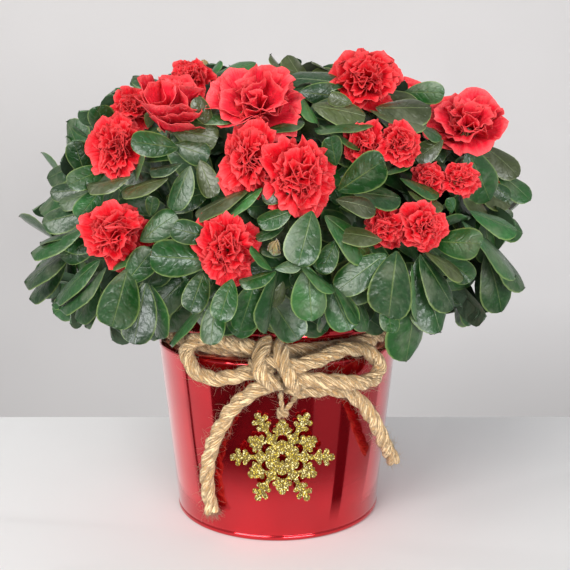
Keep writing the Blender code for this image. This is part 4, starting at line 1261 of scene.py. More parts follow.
def shoot_leaves(shoot, count, full_length, blooming, neighbours, rng):
    """The leaves of one shoot in a spiral, each as base, axes, length and form."""
    leaves = []
    side, other = square_axes(shoot.direction)
    around = rng.uniform(0.0, 2.0 * math.pi)
    lowness = min(max((SHOOT_DROOP_HEIGHT - shoot.tip.z) / SHOOT_DOME[2], 0.0), 1.0)
    opening = BLOOM_OPENING if shoot.width else SHOOT_OPENING
    for index in range(count):
        age = index / max(count - 1, 1)
        pitch = math.radians(opening + OPENING_WITH_AGE * age + rng.uniform(-9.0, 9.0))
        grown = (0.72 + 0.32 * min(age * 2.0, 1.0)) if not shoot.width else 1.0
        length = full_length * grown * rng.uniform(0.86, 1.1)
        base = shoot.tip - shoot.direction * (0.5 + shoot.width * 0.08 + SHOOT_LEAFY_LENGTH * age)
        droop = 0.10 + 0.8 * lowness * rng.uniform(0.7, 1.2)
        around += GOLDEN_ANGLE
        for attempt in range(LEAF_ATTEMPTS):
            spread = between(side, other, around + attempt * LEAF_SHIFT)
            pointing = (between(shoot.direction, spread, pitch) - UP * droop).normalized()
            face = (shoot.direction - pointing * shoot.direction.dot(pointing)).normalized()
            face = Matrix.Rotation(rng.uniform(-0.35, 0.35), 3, pointing) @ face
            axes = leaf_axes(pointing, face)
            if takes_room(base, axes, length, blooming, neighbours):
                leaves.append((base, axes, length, rng.randrange(len(LEAF_FORMS)), rng.random()))
                break
    return leaves


# Leaves

LEAF_BASE_POWER = 0.72
LEAF_END_POWER = 0.40
LEAF_ROWS = (0.0, 0.05, 0.15, 0.27, 0.40, 0.53, 0.66, 0.78, 0.88, 0.95, 0.99, 1.0)
LEAF_COLUMNS = (-1.0, -0.5, 0.0, 0.5, 1.0)
LEAF_THICKNESS = 0.012
LEAF_CREASE = 62.0

# Colours of sprays: the side between two azimuths, above a height in mm, where a share of them is
# bronze, and the least draw for each colour elsewhere
BRONZE_SIDE = (5.0, 120.0)
BRONZE_HEIGHT = 205.0
BRONZE_SHARE = 0.55
SPRAY_COLOURS = ((0.90, "bronze"), (0.30, "deep"), (0.07, "fresh"), (0.0, "young"))

# Forms: width over length, fold, arch of each half, bend along the leaf, wave and twist
LEAF_FORMS = (
    (0.64, 0.22, 0.46, 0.05, 0.04, 0.05), (0.58, 0.18, 0.40, 0.12, 0.06, -0.10),
    (0.67, 0.14, 0.44, 0.02, 0.04, 0.08), (0.55, 0.30, 0.44, 0.14, 0.05, 0.12),
    (0.61, 0.08, 0.42, -0.04, 0.07, -0.06), (0.65, 0.22, 0.40, 0.16, 0.05, 0.04),
)


def leaf_outline(share):
    """Half the leaf's width at a share of its length, as a share of the greatest."""
    widest = LEAF_BASE_POWER / (LEAF_BASE_POWER + LEAF_END_POWER)
    peak = widest ** LEAF_BASE_POWER * (1.0 - widest) ** LEAF_END_POWER
    stalk = 0.07 if share < 0.99 else 0.0
    return max(share ** LEAF_BASE_POWER * (1.0 - share) ** LEAF_END_POWER / peak, stalk)


def leaf_point(across, share, wide, fold, arch, bend, wave, twist):
    """A point of a leaf's upper face. The leaf is a unit long along +X."""
    half = wide / 2.0 * leaf_outline(share)
    up = half * (fold * abs(across) - arch * across ** 2 * 1.1)
    up += wave * wide * abs(across) ** 2 * math.sin(share * 9.0 + across * 1.3) * share
    up -= bend * share ** 2.0
    up += twist * across * half * share * 2.0
    along = share * (1.0 - 0.25 * bend ** 2) + 0.02 * (1.0 - abs(across)) * (share > 0.98)
    return Vector((along, across * half, up))


def leaf_form(values):
    """One closed leaf: a fine upper face and a coarser lower one that share the margin."""
    rows, columns = len(LEAF_ROWS), len(LEAF_COLUMNS)
    places = [(across, share, 0.0) for share in LEAF_ROWS for across in LEAF_COLUMNS]
    points = [leaf_point(across, share, *values) for across, share, _ in places]
    upper = grid_faces(rows, columns)
    lower = []
    rib = len(points)
    for row, share in enumerate(LEAF_ROWS):
        thick = LEAF_THICKNESS * (1.0 - 0.6 * share)
        points.append(points[row * columns + columns // 2] - UP * thick)
        places.append((0.0, share, 1.0))
    for row in range(rows - 1):
        near, far, below = row * columns, (row + 1) * columns, rib + row
        lower.append((near, far, below + 1, below))
        lower.append((below, below + 1, far + columns - 1, near + columns - 1))
    lower.append((0, rib, *range(columns - 1, 0, -1)))
    lower.append((*range(rib - columns, rib), len(points) - 1))
    mesh = shape_mesh("leaf_place", points, [face[::-1] for face in (*upper, *lower)], places)
    mark(mesh, "leaf_below", [0.0] * len(upper) + [1.0] * len(lower), domain="FACE")
    return crease_sharp(mesh, LEAF_CREASE)


def spray_colour(shoot, rng):
    """The colour that a whole spray gets: bronze mostly at the upper right, young ones low."""
    azimuth = math.degrees(math.atan2(shoot.tip.x, -shoot.tip.y))
    draw = rng.random()
    if shoot.inner:
        return "deep"
    low, high = BRONZE_SIDE
    if low < azimuth < high and shoot.tip.z > BRONZE_HEIGHT and draw < BRONZE_SHARE:
        return "bronze"
    return next(colour for least, colour in SPRAY_COLOURS if draw >= least)


# Wood

def tube(shape, points, radii, sides, relief=0.0, seed=0.0):
    """A closed tube with flat ends along points in mm. Relief roughens its radius."""
    ends = [points[0], *points, points[-1]]
    tangents = [(after - before).normalized() for before, after in zip(ends, ends[2:])]
    side = tangents[0].orthogonal().normalized()
    corners, places = [], []
    for row, (point, tangent, radius) in enumerate(zip(points, tangents, radii)):
        side = (side - tangent * side.dot(tangent)).normalized()
        other = tangent.cross(side)
        for step in range(sides):
            outward = between(side, other, 2.0 * math.pi * step / sides)
            rough = 1.0
            if relief:
                rough += relief * noise.noise((point * 0.12 + outward * 1.6) + Vector((seed, 0.0, 0.0)))
            corners.append((point + outward * radius * rough) * MM)
            places.append((step / sides, row, seed))
    faces = ring_faces(len(points), sides)
    faces.append(tuple(range(sides))[::-1])
    faces.append(tuple(range((len(points) - 1) * sides, len(points) * sides)))
    shape.take(corners, faces, places)


def trunk_middle(height):
    """The trunk's middle at a height. It leans evenly above its flare."""
    share = (height - SOIL_TOP) / (TRUNK_TOP.z - SOIL_TOP)
    lean = max(share - TRUNK_FLARE_SHARE, 0.0) / (1.0 - TRUNK_FLARE_SHARE)
    return TRUNK_FOOT.lerp(Vector((TRUNK_TOP.x, TRUNK_TOP.y, 0.0)), lean) + UP * height


def add_trunk(shape):
    points, radii = [], []
    for share in np.linspace(0.0, 1.0, 26).tolist():
        points.append(trunk_middle(SOIL_TOP - 0.4 + (TRUNK_TOP.z - SOIL_TOP) * share))
        flare = max(1.0 - share / 0.3, 0.0) ** 2
        radii.append(TRUNK_RADIUS * (1.04 - 0.10 * share) + (TRUNK_BASE_RADIUS - TRUNK_RADIUS) * flare)
    tube(shape, points, radii, 28, relief=0.22, seed=3.0)


def mass_places(ring_place, top_place):
    """A place for each mass, at a distance and height for its ring."""
    return {name: toward(azimuth) * out + UP * height
            for masses, (out, height) in ((RING_MASSES, ring_place), (TOP_MASSES, top_place))
            for name, azimuth in masses.items()}


def bough_route(name, hub):
    """A bough from the trunk to the hub of its mass, where the sprays divide."""
    if name in RING_MASSES:
        outward = toward(RING_MASSES[name])
        low = list(RING_MASSES).index(name) % 2
        start = trunk_middle(BOUGH_LOW_START if low else BOUGH_HIGH_START) + outward * TRUNK_RADIUS * 0.7
        sag = start.lerp(hub, 0.55) - UP * 4.0
        return smooth_route([start, start + outward * 6.0, sag, hub], 7)
    outward = toward(TOP_MASSES[name])
    start = TRUNK_TOP + outward * 2.6 - UP * 2.0
    return smooth_route([start, start + UP * 8.0, start.lerp(hub, 0.5) + outward * 3.0, hub], 7)


def add_spray_wood(shape, hub, shoots, rng):
    """Branches from a mass's hub to groups of shoots, and a twig to each shoot."""
    tips = [shoot.tip for shoot in shoots]
    nodes = [tips[0]]
    while len(nodes) < round(len(tips) / SHOOTS_ON_BRANCH):
        nodes.append(max(tips, key=lambda tip: min((tip - node).length for node in nodes)))
    for node in nodes:
        own = [shoot for shoot in shoots if min(nodes, key=lambda spot: (spot - shoot.tip).length) == node]
        middle = sum((shoot.tip for shoot in own), Vector()) / len(own)
        fork = hub.lerp(middle, 0.52) - UP * 2.0
        bend = hub.lerp(fork, 0.5) + Vector([rng.uniform(-3.0, 3.0) for _ in range(3)])
        branch = smooth_route([hub, bend, fork], 4)
        tube(shape, branch, np.linspace(*BRANCH_RADII, len(branch)), 7, relief=0.2, seed=node.x)
        for shoot in own:
            start = shoot.tip - shoot.direction * TWIG_LENGTH
            end = shoot.tip - shoot.direction * (0.0 if shoot.width else 0.5)
            twig = smooth_route([fork, fork.lerp(start, 0.6) - UP * 1.5, start, end], 3)
            tube(shape, twig, np.linspace(*TWIG_RADII, len(twig)), 5, relief=0.15, seed=start.y)


# Blooms

FRONT_PETAL_STEPS = (20, 8)
BACK_PETAL_STEPS = (10, 4)
PETAL_CREASE = 75.0
PETAL_CRUMPLE = 1.5
DOUBLE_FORMS = ("rose", "open", "cupped")

# Calyxes and buds: steps, thickness over a petal's, and a calyx's size and setback over the bloom's
CALYX_STEPS = (4, 4)
CALYX_THICKNESS = 1.5
CALYX_SIZE = 0.5
CALYX_SETBACK = 0.02
BUD_STEPS = (5, 5)
BUD_THICKNESS = 2.0
BUD_WIDTHS = (5.0, 7.5)

# Rings of petals: count, length over width of the bloom, half-spread, lean at the foot and at the
# margin in degrees, ruffle, waves and height of the foot
BLOOM_RINGS = {
    "rose": (
        (5, 0.56, 0.80, 52, 98, 0.11, 2.2, 0.00), (6, 0.53, 0.74, 40, 84, 0.15, 2.6, 0.05),
        (6, 0.48, 0.72, 27, 68, 0.18, 2.9, 0.10), (6, 0.42, 0.72, 13, 52, 0.22, 3.2, 0.15),
        (5, 0.36, 0.85, 0, 36, 0.24, 3.4, 0.19),
    ),
    "open": (
        (5, 0.64, 0.80, 44, 92, 0.09, 1.8, 0.00), (5, 0.60, 0.76, 30, 70, 0.11, 2.1, 0.04),
        (5, 0.54, 0.76, 16, 46, 0.13, 2.4, 0.08), (4, 0.47, 0.80, 2, 26, 0.16, 2.8, 0.10),
    ),
    "cupped": (
        (5, 0.82, 0.78, 54, 16, 0.06, 1.5, 0.00), (5, 0.80, 0.70, 38, 10, 0.09, 1.8, 0.02),
        (5, 0.76, 0.62, 20, 8, 0.14, 2.1, 0.04),
    ),
    "bud": ((5, 0.9, 0.62, 42, -50, 0.0, 1.0, 0.0), (5, 1.25, 0.55, 30, -48, 0.0, 1.0, 0.1)),
    "calyx": ((5, 0.42, 0.30, 50, 100, 0.02, 1.0, -0.04),),
}


def irregular_wave(wide, waves, weights, rng):
    """A few sine waves of random strength and phase across a petal."""
    return sum(weight * rng.uniform(0.4, 1.2)
               * np.sin(wide * waves * (0.7 + 0.8 * order) + rng.uniform(0.0, 2.0 * math.pi))
               for order, weight in enumerate(weights))


def petal_surface(length, spread, foot_lean, margin_lean, ruffle, waves, rng, steps):
    """One petal as rows of points, its foot at the origin, leaning outwards along +X."""
    across, along = steps
    wide = np.linspace(-1.0, 1.0, across + 1)[None, :]
    rows = np.linspace(0.10, 1.0, along + 1)[:, None]
    wave = irregular_wave(wide, waves, (0.7, 0.9, 0.7, 0.4), rng)
    frill = irregular_wave(wide, waves * 4.5, (0.6, 0.9, 0.7), rng)
    notches = 1.0 + 0.035 * frill * rows ** 4
    rounding = 1.0 - 0.36 * np.abs(wide) ** 2.4
    reach = rows * rounding * notches * length * rng.uniform(0.82, 1.08)
    angle = wide * spread * (0.8 + 0.2 * rows)
    out, sideways = reach * np.cos(angle), reach * np.sin(angle)
    stations = np.linspace(0.0, 1.25, 24)
    lean = np.radians(foot_lean + (margin_lean - foot_lean) * np.minimum(stations, 1.1) ** 1.4)
    step = length * (stations[1] - stations[0])
    outward = np.concatenate(([0.0], np.cumsum(np.sin(lean[:-1]) * step)))
    upward = np.concatenate(([0.0], np.cumsum(np.cos(lean[:-1]) * step)))
    share = out / length
    tilt = np.interp(share, stations, lean)
    lift = ruffle * length * (wave * rows ** 1.4 + 0.38 * frill * rows ** 3)
    lift = lift - 0.45 * sideways ** 2 / length + rng.uniform(-0.35, 0.35) * sideways * rows
    x = np.interp(share, stations, outward) + lift * np.cos(tilt)
    z = np.interp(share, stations, upward) - lift * np.sin(tilt)
    return np.stack([x, np.broadcast_to(sideways, x.shape), z], axis=-1)


def take_petal(shape, grid, thickness, seed):
    """Gives a petal its thickness and gathers it as a closed body."""
    rows, columns = grid.shape[:2]
    normal = np.cross(np.gradient(grid, axis=1), np.gradient(grid, axis=0))
    normal /= np.linalg.norm(normal, axis=-1, keepdims=True) + 1e-12
    half = normal * thickness * 0.5 * np.linspace(1.0, 0.55, rows)[:, None, None]
    points = np.concatenate((grid + half, grid - half)).reshape(-1, 3)
    count = rows * columns
    faces = grid_faces(rows, columns) + grid_faces(rows, columns, count, flip=True)
    rim = [*range(columns), *range(2 * columns - 1, count, columns),
           *range(count - 2, count - columns - 1, -1), *range(count - 2 * columns, 0, -columns)]
    for first, second in zip(rim, rim[1:] + rim[:1]):
        faces.append((second, first, first + count, second + count))
    places = [(column / (columns - 1) * 2.0 - 1.0, row / (rows - 1), seed)
              for row in range(rows) for column in range(columns)] * 2
    shape.take(points, [face[::-1] for face in faces], places)


def crumpled(grid):
    """A petal's points moved by two sizes of noise, more towards its margin."""
    rough = [[noise.noise_vector(Vector(point) * 0.16) + noise.noise_vector(Vector(point) * 0.45) * 0.6
              for point in row] for row in grid]
    return grid + np.array(rough) * PETAL_CRUMPLE * np.linspace(0.0, 1.0, len(grid))[:, None, None]


def take_bloom(shape, foot, direction, width, form, thickness, rng, steps, tall=1.0):
    """One bloom: rings of petals round its axis, each petal with its own ruffles, in mm."""
    frame_turn = np.array(direction.to_track_quat("Z", "Y").to_matrix())
    for ring, (count, length, spread, low, high, ruffle, waves, height) in enumerate(BLOOM_RINGS[form]):
        for index in range(count):
            leans = (low + rng.uniform(-10, 10), high + rng.uniform(-18, 18))
            waves_here = waves * rng.uniform(0.8, 1.2)
            grid = petal_surface(length * width, spread, *leans, ruffle, waves_here, rng, steps)
            turn = 2.0 * math.pi * (index + 0.45 * ring) / count + rng.uniform(-0.3, 0.3)
            spin = np.array(Matrix.Rotation(turn, 3, "Z"))
            grid = (grid + np.array((0.02 * width, 0.0, height * width))) @ spin.T
            grid = grid * np.array((1.0, tall, 1.0)) @ frame_turn.T
            grid = grid + np.array(foot)
            if form in DOUBLE_FORMS:
                grid = crumpled(grid)
            take_petal(shape, grid * MM, thickness, rng.uniform(0.0, 50.0))


def bloom_heads(shoot):
    """The foot, axis, width and form of each flower in a bloom."""
    if shoot.form != "pair":
        return [(shoot.tip, shoot.direction, shoot.width, shoot.form)]
    side = UP.cross(shoot.direction).normalized()
    heads = []
    for sign, share in ((-1.0, 0.68), (1.0, 0.72)):
        axis = (shoot.direction + side * 0.42 * sign).normalized()
        heads.append((shoot.tip + side * shoot.width * 0.20 * sign, axis, shoot.width * share, "rose"))
    return heads


# Rope

def wound_strands(tree, given):
    """The route's edges as a curve, copied for each strand and wound about itself."""
    curve = add(tree, "GeometryNodeMeshToCurve", {"Mesh": given["Geometry"]})
    route = add(tree, "GeometryNodeResampleCurve", {"Curve": curve, "Length": given["Step"]}, mode="LENGTH")
    copies = add(tree, "GeometryNodeDuplicateElements", {"Geometry": route, "Amount": given["Strands"]},
                 domain="SPLINE")
    along = add(tree, "GeometryNodeSplineParameter").outputs["Length"]
    indexed = stored(tree, copies, "strand", copies.outputs["Duplicate Index"])
    turns = math_node(tree, "ADD", math_node(tree, "DIVIDE", named(tree, "strand"), given["Strands"]),
                      math_node(tree, "DIVIDE", along, given["Lay"]))
    angle = times(tree, turns, 2.0 * math.pi)
    normal = add(tree, "GeometryNodeInputNormal")
    other = vector_node(tree, "CROSS_PRODUCT", add(tree, "GeometryNodeInputTangent"), normal)
    outward = vector_node(tree, "ADD", vector_node(tree, "SCALE", normal, math_node(tree, "COSINE", angle)),
                          vector_node(tree, "SCALE", other, math_node(tree, "SINE", angle)))
    radius = math_node(tree, "SUBTRACT", given["Rope Radius"], given["Strand Radius"])
    laid = add(tree, "GeometryNodeSetPosition", {"Geometry": stored(tree, indexed, "length", along),
                                                 "Offset": vector_node(tree, "SCALE", outward, radius)})
    return add(tree, "GeometryNodeSetCurveTilt", {"Curve": laid, "Tilt": angle})


def solid_strands(tree, given, strands):
    """Solid strands. Each point keeps its place across and along its strand for the jute's streaks."""
    profile = add(tree, "GeometryNodeCurvePrimitiveCircle",
                  {"Resolution": 14, "Radius": given["Strand Radius"]})
    marked = stored(tree, profile, "around", add(tree, "GeometryNodeInputPosition"), "FLOAT_VECTOR")
    solid = add(tree, "GeometryNodeCurveToMesh",
                {"Curve": strands, "Profile Curve": marked, "Fill Caps": True})
    apart = add(tree, "ShaderNodeSeparateXYZ", {0: named(tree, "around", "FLOAT_VECTOR")})
    own = math_node(tree, "ADD", apart.outputs[0], times(tree, named(tree, "strand"), 0.1))
    together = add(tree, "ShaderNodeCombineXYZ",
                   {"X": own, "Y": apart.outputs[1], "Z": named(tree, "length")})
    return stored(tree, solid, "fibre_place", together, "FLOAT_VECTOR")


@growing_tree("Laid rope", {"Strands": 3, "Rope Radius": 0.004, "Strand Radius": 0.002,
                            "Lay": 0.025, "Step": 0.001, "Roughness": 0.0003})
def rope_tree(tree, given):
    """Strands laid round a route, their surface roughened along the fibres."""
    solid = solid_strands(tree, given, wound_strands(tree, given))
    place = named(tree, "fibre_place", "FLOAT_VECTOR")
    stretched = vector_node(tree, "MULTIPLY", place, BUMP_STRETCH)
    bumps = math_node(tree, "SUBTRACT", noise_node(tree, stretched, 1.0, 2.0), 0.5)
    shift = vector_node(tree, "SCALE", add(tree, "GeometryNodeInputNormal"),
                        times(tree, bumps, given["Roughness"]))
    return finished(tree, given, "GeometryNodeSetPosition", {"Geometry": solid, "Offset": shift})


def route_mesh(points, closed=False):
    count = len(points)
    edges = [(index, (index + 1) % count) for index in range(count if closed else count - 1)]
    made = bpy.data.meshes.new("route")
    made.from_pydata([tuple(point) for point in points], edges, [])
    return made


def rope_mesh(points, settings, material, radius=None, strands=None, lay=None, closed=False):
    """A rope along a route in metres. The strands fill its radius."""
    radius = radius or settings.rope_radius
    strands = strands or settings.strands
    fill = 0.55 if strands == 3 else 0.56
    made = grow(route_mesh(points, closed), rope_tree(), {
        "Strands": strands, "Rope Radius": radius, "Strand Radius": radius * fill,
        "Lay": lay or settings.lay, "Step": radius * 0.32, "Roughness": radius * 0.50, "Finish": material})
    made.shade_smooth()
    return made


def hair_form():
    """One loose fibre a unit long: a bent, three-sided needle."""
    shape = Shape("fibre_place")
    shares = (0.0, 0.25, 0.5, 0.75, 1.0)
    points = [Vector((0.34 * share ** 2, 0.10 * math.sin(share * 3.0), share * 0.94)) / MM
              for share in shares]
    tube(shape, points, [14.0 * (1.0 - 0.6 * share) for share in shares], 3)
    return shape.mesh()


def frayed_end(tip, tangent, radius, count, length, seed):
    """The spread fibres at a cut end, as entries for copies."""
    rng = random.Random(seed)
    entries = []
    side, other = square_axes(tangent)
    for _ in range(count):
        angle, out = rng.uniform(0.0, 2.0 * math.pi), math.sqrt(rng.random())
        spread = between(side, other, angle)
        heading = (tangent + spread * out * rng.uniform(0.1, 0.8)).normalized()
        across = Matrix.Rotation(rng.uniform(0.0, 6.28), 3, heading) @ heading.orthogonal().normalized()
        axes = (tuple(across), tuple(heading.cross(across)), tuple(heading))
        start = tip + spread * out * radius - tangent * 1.5 * MM
        entries.append((start, axes, length * rng.uniform(0.5, 1.0), 0, rng.random()))
    return entries


def frayed_entries(radius):
    """The fibres at the cut ends of both tails and under the string's knot."""
    entries = []
    for route, count, length, seed in FRAYED_TAILS:
        before, tip = [polar(*place) for place in route[-2:]]
        entries += frayed_end(tip, (tip - before).normalized(), radius, count, length * MM, seed)
    hanging = Vector((-0.2, -0.1, -1.0)).normalized()
    return entries + frayed_end(polar(*STRING_KNOT), hanging, 1.4 * MM, 60, 6.0 * MM, 3)


def string_meshes(settings, material):
    """Both strands of the string and the coil of its knot."""
    radius = STRING_RADIUS * MM
    meshes = [rope_mesh(pot_route(route, 6), settings, material, radius, 2, STRING_LAY * MM)
              for route in (STRING_LEFT, STRING_RIGHT)]
    wide, deep, high = COIL_HALVES
    coil = []
    for step in range(COIL_STEPS):
        share = step / (COIL_STEPS - 1)
        angle = share * COIL_TURNS * 2.0 * math.pi
        around = Vector((math.cos(angle) * wide, math.sin(angle) * deep, high - 2.0 * high * share))
        coil.append(polar(*STRING_KNOT) + around * MM)
    return [*meshes, rope_mesh(coil, settings, material, radius * 0.95, 2, COIL_LAY * MM)]


# Snowflake

def rotated(points, angle):
    return [(x * math.cos(angle) - z * math.sin(angle), x * math.sin(angle) + z * math.cos(angle))
            for x, z in points]


def arc(centre, radius, start, end, steps):
    return [on_circle(radius, math.radians(start + (end - start) * step / steps), centre)
            for step in range(steps + 1)]


def flake_outline():
    """The plate's outline in mm: half an arm and half a petal, mirrored and turned."""
    half_arm = [
        *arc((27.5, 0.0), 1.85, 0.0, 135.0, 5), (25.3, 1.0), *arc((24.9, 3.5), 1.35, -30.0, 190.0, 6),
        (22.9, 1.8), (22.0, 1.1), *arc((20.8, 3.1), 1.25, -25.0, 190.0, 5), (18.8, 1.9), (17.8, 1.1),
        (14.6, 1.15),
    ]
    half_petal = [
        (13.1, -2.7), (14.0, -3.1), *arc((15.6, -4.2), 1.25, -170.0, 10.0, 5), (17.0, -3.4),
        *arc((18.4, -2.4), 1.15, -120.0, 20.0, 4), *arc((20.5, -0.6), 1.35, -90.0, 0.0, 3),
    ]
    half = [*half_arm, *rotated(half_petal, math.pi / FLAKE_ARMS)]
    mirrored = rotated([(x, -z) for x, z in half[::-1]], 2.0 * math.pi / FLAKE_ARMS)
    outline = []
    for arm in range(FLAKE_ARMS):
        outline.extend(rotated([*half, *mirrored[:-1]], 2.0 * math.pi * arm / FLAKE_ARMS))
    return outline


def star_outline():
    return [on_circle(STAR_NOTCH if step % 2 else STAR_TIP, math.pi * step / FLAKE_ARMS)
            for step in range(2 * FLAKE_ARMS)]


def lobe_turns():
    """The way that each of the six lobes between the arms points."""
    return [math.pi / FLAKE_ARMS * (2 * lobe + 1) for lobe in range(FLAKE_ARMS)]


def rosette_outline():
    """Six round lobes between the points of the star."""
    lobe = arc((LOBE_DISTANCE, 0.0), LOBE_RADIUS, -78.0, 78.0, 8)
    return [point for turn in lobe_turns() for point in rotated(lobe, turn)]


def plate_mesh(outlines, thickness, centre, rounding):
    """A flat plate with holes from outlines in mm, its edges a little rounded."""
    curve = bpy.data.curves.new("plate", "CURVE")
    curve.dimensions = "2D"
    curve.fill_mode = "BOTH"
    curve.extrude = thickness / 2.0 - rounding
    curve.bevel_depth = rounding
    curve.bevel_resolution = 1
    curve.offset = -rounding
    for outline in outlines:
        spline = curve.splines.new("POLY")
        spline.points.add(len(outline) - 1)
        for point, (x, z) in zip(spline.points, outline):
            point.co = (x * MM, z * MM, 0.0, 1.0)
        spline.use_cyclic_u = True
    mesh = plain_mesh(linked("drawn", curve))
    mesh.transform(Matrix.Translation(centre * MM) @ Matrix.Rotation(math.pi / 2.0, 4, "X"))
    return mesh


def glitter_form():
    """One glitter flake a unit across: a flat six-sided lens."""
    points = [(*on_circle(0.5, math.pi * step / 3.0), 0.0) for step in range(6)]
    points.extend(((0.0, 0.0, -0.09), (0.0, 0.0, 0.09)))
    mesh = shape_mesh("flake_place", points, closed_faces(1, 6))
    mesh.shade_flat()
    return mesh


# Stage, in metres: the wall's size is half its width, then its foot and its top
FLOOR_BACK = 168.0 * MM
FLOOR_HALF = 1.6
FLOOR_HEIGHT = -0.2 * MM
WALL_PLACE = 900.0 * MM
WALL_SIZE = (3.0, -1.0, 2.4)
LIGHT_AIM = (0.0, 0.0, 0.15)

# Cards on the floor that only the pot's gloss sees: the azimuths on the pot between which a card
# shows, where it starts and where it is in full, as distances from the pot in mm, and its shade
GLOSS_CARDS = ((-34.0, 18.0, 12.0, 84.0, 0.004), (18.0, 33.0, 12.0, 70.0, 0.22),
               (33.0, 40.0, -6.0, 24.0, 0.004), (40.0, 60.0, 8.0, 60.0, 0.45),
               (-50.0, -48.3, 8.0, 30.0, 0.004), (-80.0, -52.0, 0.0, 12.0, 1.0),
               (60.0, 80.0, 0.0, 12.0, 1.0))
CARD_FAR = 1400.0


def gloss_card(start, end, near):
    """A card's corners, along the ways in which the pot's side mirrors the view at two azimuths."""
    places = ((start, near), (start, CARD_FAR), (end, CARD_FAR), (end, near))
    return [(toward(azimuth) * POT_SHOULDER_RADIUS + toward(2.0 * azimuth) * distance + UP) * MM
            for azimuth, distance in places]


def rectangle(half, low, high):
    """Corners from -half to half across and from low to high."""
    return ((-half, low), (half, low), (half, high), (-half, high))


def stage_piece(name, corners, material):
    """One flat piece of the stage."""
    plane = bpy.data.meshes.new(name)
    plane.from_pydata([tuple(corner) for corner in corners], [], [tuple(range(len(corners)))])
    plane.materials.append(material)
    made = linked(name, plane)
    return made


def area_light(name, place, target, size, power, colour):
    lamp = bpy.data.lights.new(name, "AREA")
    lamp.shape = "RECTANGLE"
    lamp.size, lamp.size_y = size
    lamp.energy = power
    lamp.color = colour
    made = linked(name, lamp)
    made.location = place
    made.rotation_euler = (Vector(target) - Vector(place)).to_track_quat("-Z", "Y").to_euler()


def make_camera():
    lens = bpy.data.cameras.new("camera")
    lens.lens = CAMERA_LENS
    lens.sensor_width = CAMERA_SENSOR
    lens.clip_start = 0.01
    made = linked("camera", lens)
    made.location = CAMERA_PLACE
    made.rotation_euler = (math.pi / 2.0 - CAMERA_PITCH, 0.0, 0.0)
    bpy.context.scene.camera = made


def make_surround(strength):
    world = bpy.data.worlds.new("surround")
    world.use_nodes = True
    background = world.node_tree.nodes["Background"]
    background.inputs["Color"].default_value = (0.97, 0.97, 1.0, 1.0)
    background.inputs["Strength"].default_value = strength
    bpy.context.scene.world = world


# Operators

class StageMaker(bpy.types.Operator):
    """Sets up the floor, the backdrop, the lights and the camera"""
    bl_idname = "azalea.stage"
    bl_label = "Stage"

    def execute(self, context):
        settings = context.scene.azalea_stage
        make_camera()
        make_surround(settings.surround)
        floor = stage_material("pale_floor", settings.floor, 0.6)
        wall = stage_material("pale_wall", settings.wall, 0.9)
        ground = rectangle(FLOOR_HALF, -FLOOR_HALF, FLOOR_BACK)
        stage_piece("stage_floor", [(x, y, FLOOR_HEIGHT) for x, y in ground], floor)
        stage_piece("stage_wall", [(x, WALL_PLACE, z) for x, z in rectangle(*WALL_SIZE)], wall)
        for number, (start, end, near, full, shade) in enumerate(GLOSS_CARDS):
            card = stage_piece(f"stage_card_{number}", gloss_card(start, end, near),
                               card_material("gloss_card", shade, near, full))
            card.visible_camera = card.visible_diffuse = card.visible_shadow = False
        area_light("key", (-0.7, -1.2, 1.0), LIGHT_AIM, (1.0, 1.0), settings.key_power, (1.0, 0.98, 0.95))
        area_light("fill", (0.6, -1.5, 0.3), LIGHT_AIM, (0.9, 0.5), settings.fill_power, (0.97, 0.98, 1.0))
        area_light("wall_wash", (0.25, 0.4, -0.8), (0.3, WALL_PLACE, 0.0), (1.4, 0.3),
                   settings.wall_power, (1.0, 1.0, 1.0))
        context.scene.view_settings.view_transform = "Standard"
        return {"FINISHED"}


class PotMaker(bpy.types.Operator):
    """Makes the enamelled pot"""
    bl_idname = "azalea.pot"
    bl_label = "Pot"

    def execute(self, context):
        settings = context.scene.azalea_pot
        mesh = turned_mesh(pot_outline(settings.wall / MM), settings.steps)
        crease_sharp(mesh, 50.0)
        piece("pot_enamelled", mesh, enamel_material("red_enamel", settings.paint), "pot_paint", "pot")
        return {"FINISHED"}


class SoilMaker(bpy.types.Operator):
    """Makes the root ball and its loose crumbs"""
    bl_idname = "azalea.soil"
    bl_label = "Root ball"

    def execute(self, context):
        settings = context.scene.azalea_pot
        finish = peat_material("moist_peat", settings.peat)
        piece("root_ball", soil_mesh(), finish, "peat", "soil")
        crumbs = placed_copies([crumb_form()], crumb_entries(settings.crumbs), finish)
        piece("peat_crumbs", crumbs, None, "peat")
        return {"FINISHED"}


class WoodMaker(bpy.types.Operator):
    """Makes the trunk, the boughs, the branches and the twigs"""
    bl_idname = "azalea.wood"
    bl_label = "Wood"

    def execute(self, context):
        settings = context.scene.azalea_crown
        rng = random.Random(WOOD_SEED)
        finish = bark_material("fissured_bark", settings.bark)
        stems = Shape("wood_place")
        twigs = Shape("wood_place")
        add_trunk(stems)
        hubs = mass_places(RING_HUB, TOP_HUB)
        seats = mass_places(RING_SEAT, TOP_SEAT)
        shoots = all_shoots(settings)
        for name, hub in hubs.items():
            route = bough_route(name, hub)
            radii = np.linspace(BOUGH_START_RADIUS, BOUGH_TIP_RADIUS, len(route))
            tube(stems, route, radii, 12, relief=0.25, seed=hub.x)
            own = [shoot for shoot in shoots
                   if min(seats, key=lambda seat: (shoot.tip - seats[seat]).length) == name]
            add_spray_wood(twigs, hub, own, rng)
        boughs = ["bough_" + name for name in hubs]
        piece("trunk_and_boughs", stems.mesh(), finish, "bark", "trunk", *boughs)
        piece("twigs", twigs.mesh(), finish, "bark")
        return {"FINISHED"}


